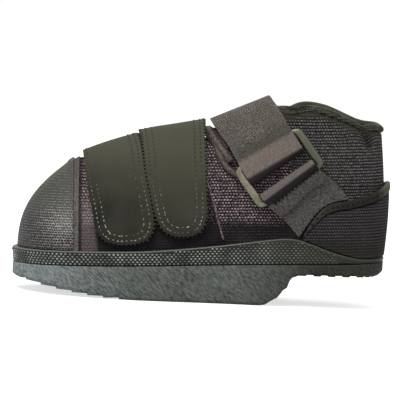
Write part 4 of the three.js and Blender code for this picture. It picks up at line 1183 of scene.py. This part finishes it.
# The weave of tape is plain and fine: two sets of yarns and the fuzz on them.
WEAVE, enter, leave = new_group("weave", {"Vector": "Vector"}, "Height")
yarns = []
for way in YARN_WAYS:
    across = vector_of("DOT_PRODUCT", enter["Vector"], turned(way))
    yarns.append(math_of("SINE", times(across, 2 * math.pi / GRAIN_PITCH)))
fuzz = noise(enter["Vector"], 1000.0, 4.0, 0.6)
fed(leave, math_of("ADD", times(times(*yarns), YARN_SHARE), fuzz))


def tape_material(name, line, dark, light):
    """New webbing: its weave and tone, and how far each place lies below a fold's line."""
    material, shader, place = new_material(name, roughness=0.85, specular=0.2)
    weave = grouped(WEAVE, {"Vector": place})
    tape = mixed(ramp_of(weave, 0.36, 0.66), dark, light)
    return material, shader, place, weave, tape, below_line(place, line)


strap_web, shader, place, weave, tape, reach = tape_material("webbing", FOLD_TOP, WEB_DARK, WEB_LIGHT)
cloud = noise(place, 55.0, 3.0)
tape = mixed(ramp_of(cloud, 0.38, 0.66, 0.0, 0.4), tape, WEB_SOILED)
outer = fade(place, "Y", 5 * MM, -5 * MM)
# Painted highlight along the fold round the upper bar.
fold_edge = times(ramp_of(reach, -2.0 * MM, 1.5 * MM), ramp_of(reach, 15 * MM, 12 * MM, 0.0, 0.42))
tape = mixed(times(outer, fold_edge), tape, WEB_FOLD_HIGHLIGHT)
# Painted shade in the groove just above the fold.
before_fold = times(ramp_of(reach, -9 * MM, -3 * MM), ramp_of(reach, 0, -2 * MM, 0.0, 0.45))
tape = mixed(times(outer, before_fold), tape, WEB_GROOVE_SHADE)
# Painted shadow under the fold.
under_fold = times(outer, ramp_of(reach, FOLD_CORE, 14.5 * MM, 0.0, 0.92))
tape = mixed(under_fold, tape, WEB_UNDER_FOLD_SHADOW)
painted(shader, in_folds(tape), weave, TAPE_RELIEF, 0.8)
ankle_strap = rounded(copy_of("ankle_strap"), 2, crease=0.7)
fold_down = across_line(FOLD_TOP)
for vertex in ankle_strap.data.vertices:
    if vertex.co.y > 0:
        continue
    lower = (vertex.co - beside(*FOLD_TOP[0])).dot(fold_down)
    vertex.co += fold_down * FOLD_DROP * clamped((lower - FOLD_START) / FOLD_EASE)
creased(ankle_strap, ((((240, 152), (262, 139), (284, 126)), 5 * MM, 0.9 * MM),
                      (((228, 148), (250, 134), (276, 118)), 8 * MM, -0.7 * MM)))
finished(ankle_strap, strap_web, "webbing", "ankle_strap")

anchor_web, shader, _, weave, tape, reach = tape_material(
    "anchor_webbing", ANCHOR_FOLD_TOP, ANCHOR_DARK, ANCHOR_LIGHT)
# Painted highlight along the anchor's fold round the lower bar.
tape = mixed(ramp_of(reach, ANCHOR_FOLD_DEPTH, 5.2 * MM, 0.0, 0.42), tape, ANCHOR_FOLD)
# Painted shadow below the fold, down to the pinked cut edge.
hollow_end = ramp_of(reach, ANCHOR_DARK_DEPTH + 0.6 * MM, ANCHOR_DARK_DEPTH - 0.6 * MM, 0.0, 0.94)
tape = mixed(times(ramp_of(reach, 4.6 * MM, 6.4 * MM), hollow_end), tape, ANCHOR_HOLLOW_SHADOW)
painted(shader, tape, weave, TAPE_RELIEF, 0.8)
anchor = rounded(copy_of("ring_anchor"), 2, crease=0.7)
anchor_down = across_line(ANCHOR_FOLD_TOP)
for vertex in anchor.data.vertices:
    lower = (vertex.co - beside(*ANCHOR_FOLD_TOP[0])).dot(anchor_down)
    vertex.co -= anchor_down * ANCHOR_FOLD_RISE * clamped((ANCHOR_FOLD_END - lower) / ANCHOR_FOLD_EASE)
finished(anchor, anchor_web, "webbing", "ring_anchor")
anchor_skin = skin_of(anchor)

cut_seats = []
cut_run = Vector(CUT_EDGE[1]) - Vector(CUT_EDGE[0])
cut_count = int(cut_run.length * PIXEL / CUT_PITCH)
for i in range(cut_count):
    pixel = Vector(CUT_EDGE[0]) + cut_run * (i + 0.5) / cut_count
    hit, normal = cast_sight(anchor_skin, *pixel)
    if hit:
        forward = (sight(*CUT_EDGE[1]) - sight(*CUT_EDGE[0])).normalized()
        cut_seats.append(seat(hit + normal * CUT_RISE, -forward, normal))
# The pinked teeth take the near-black of the knots as painted shade under the fold.
finished(strewn("anchor_cut_edge", new_tooth(), cut_seats, 20), knot_and_shade_material, "webbing")
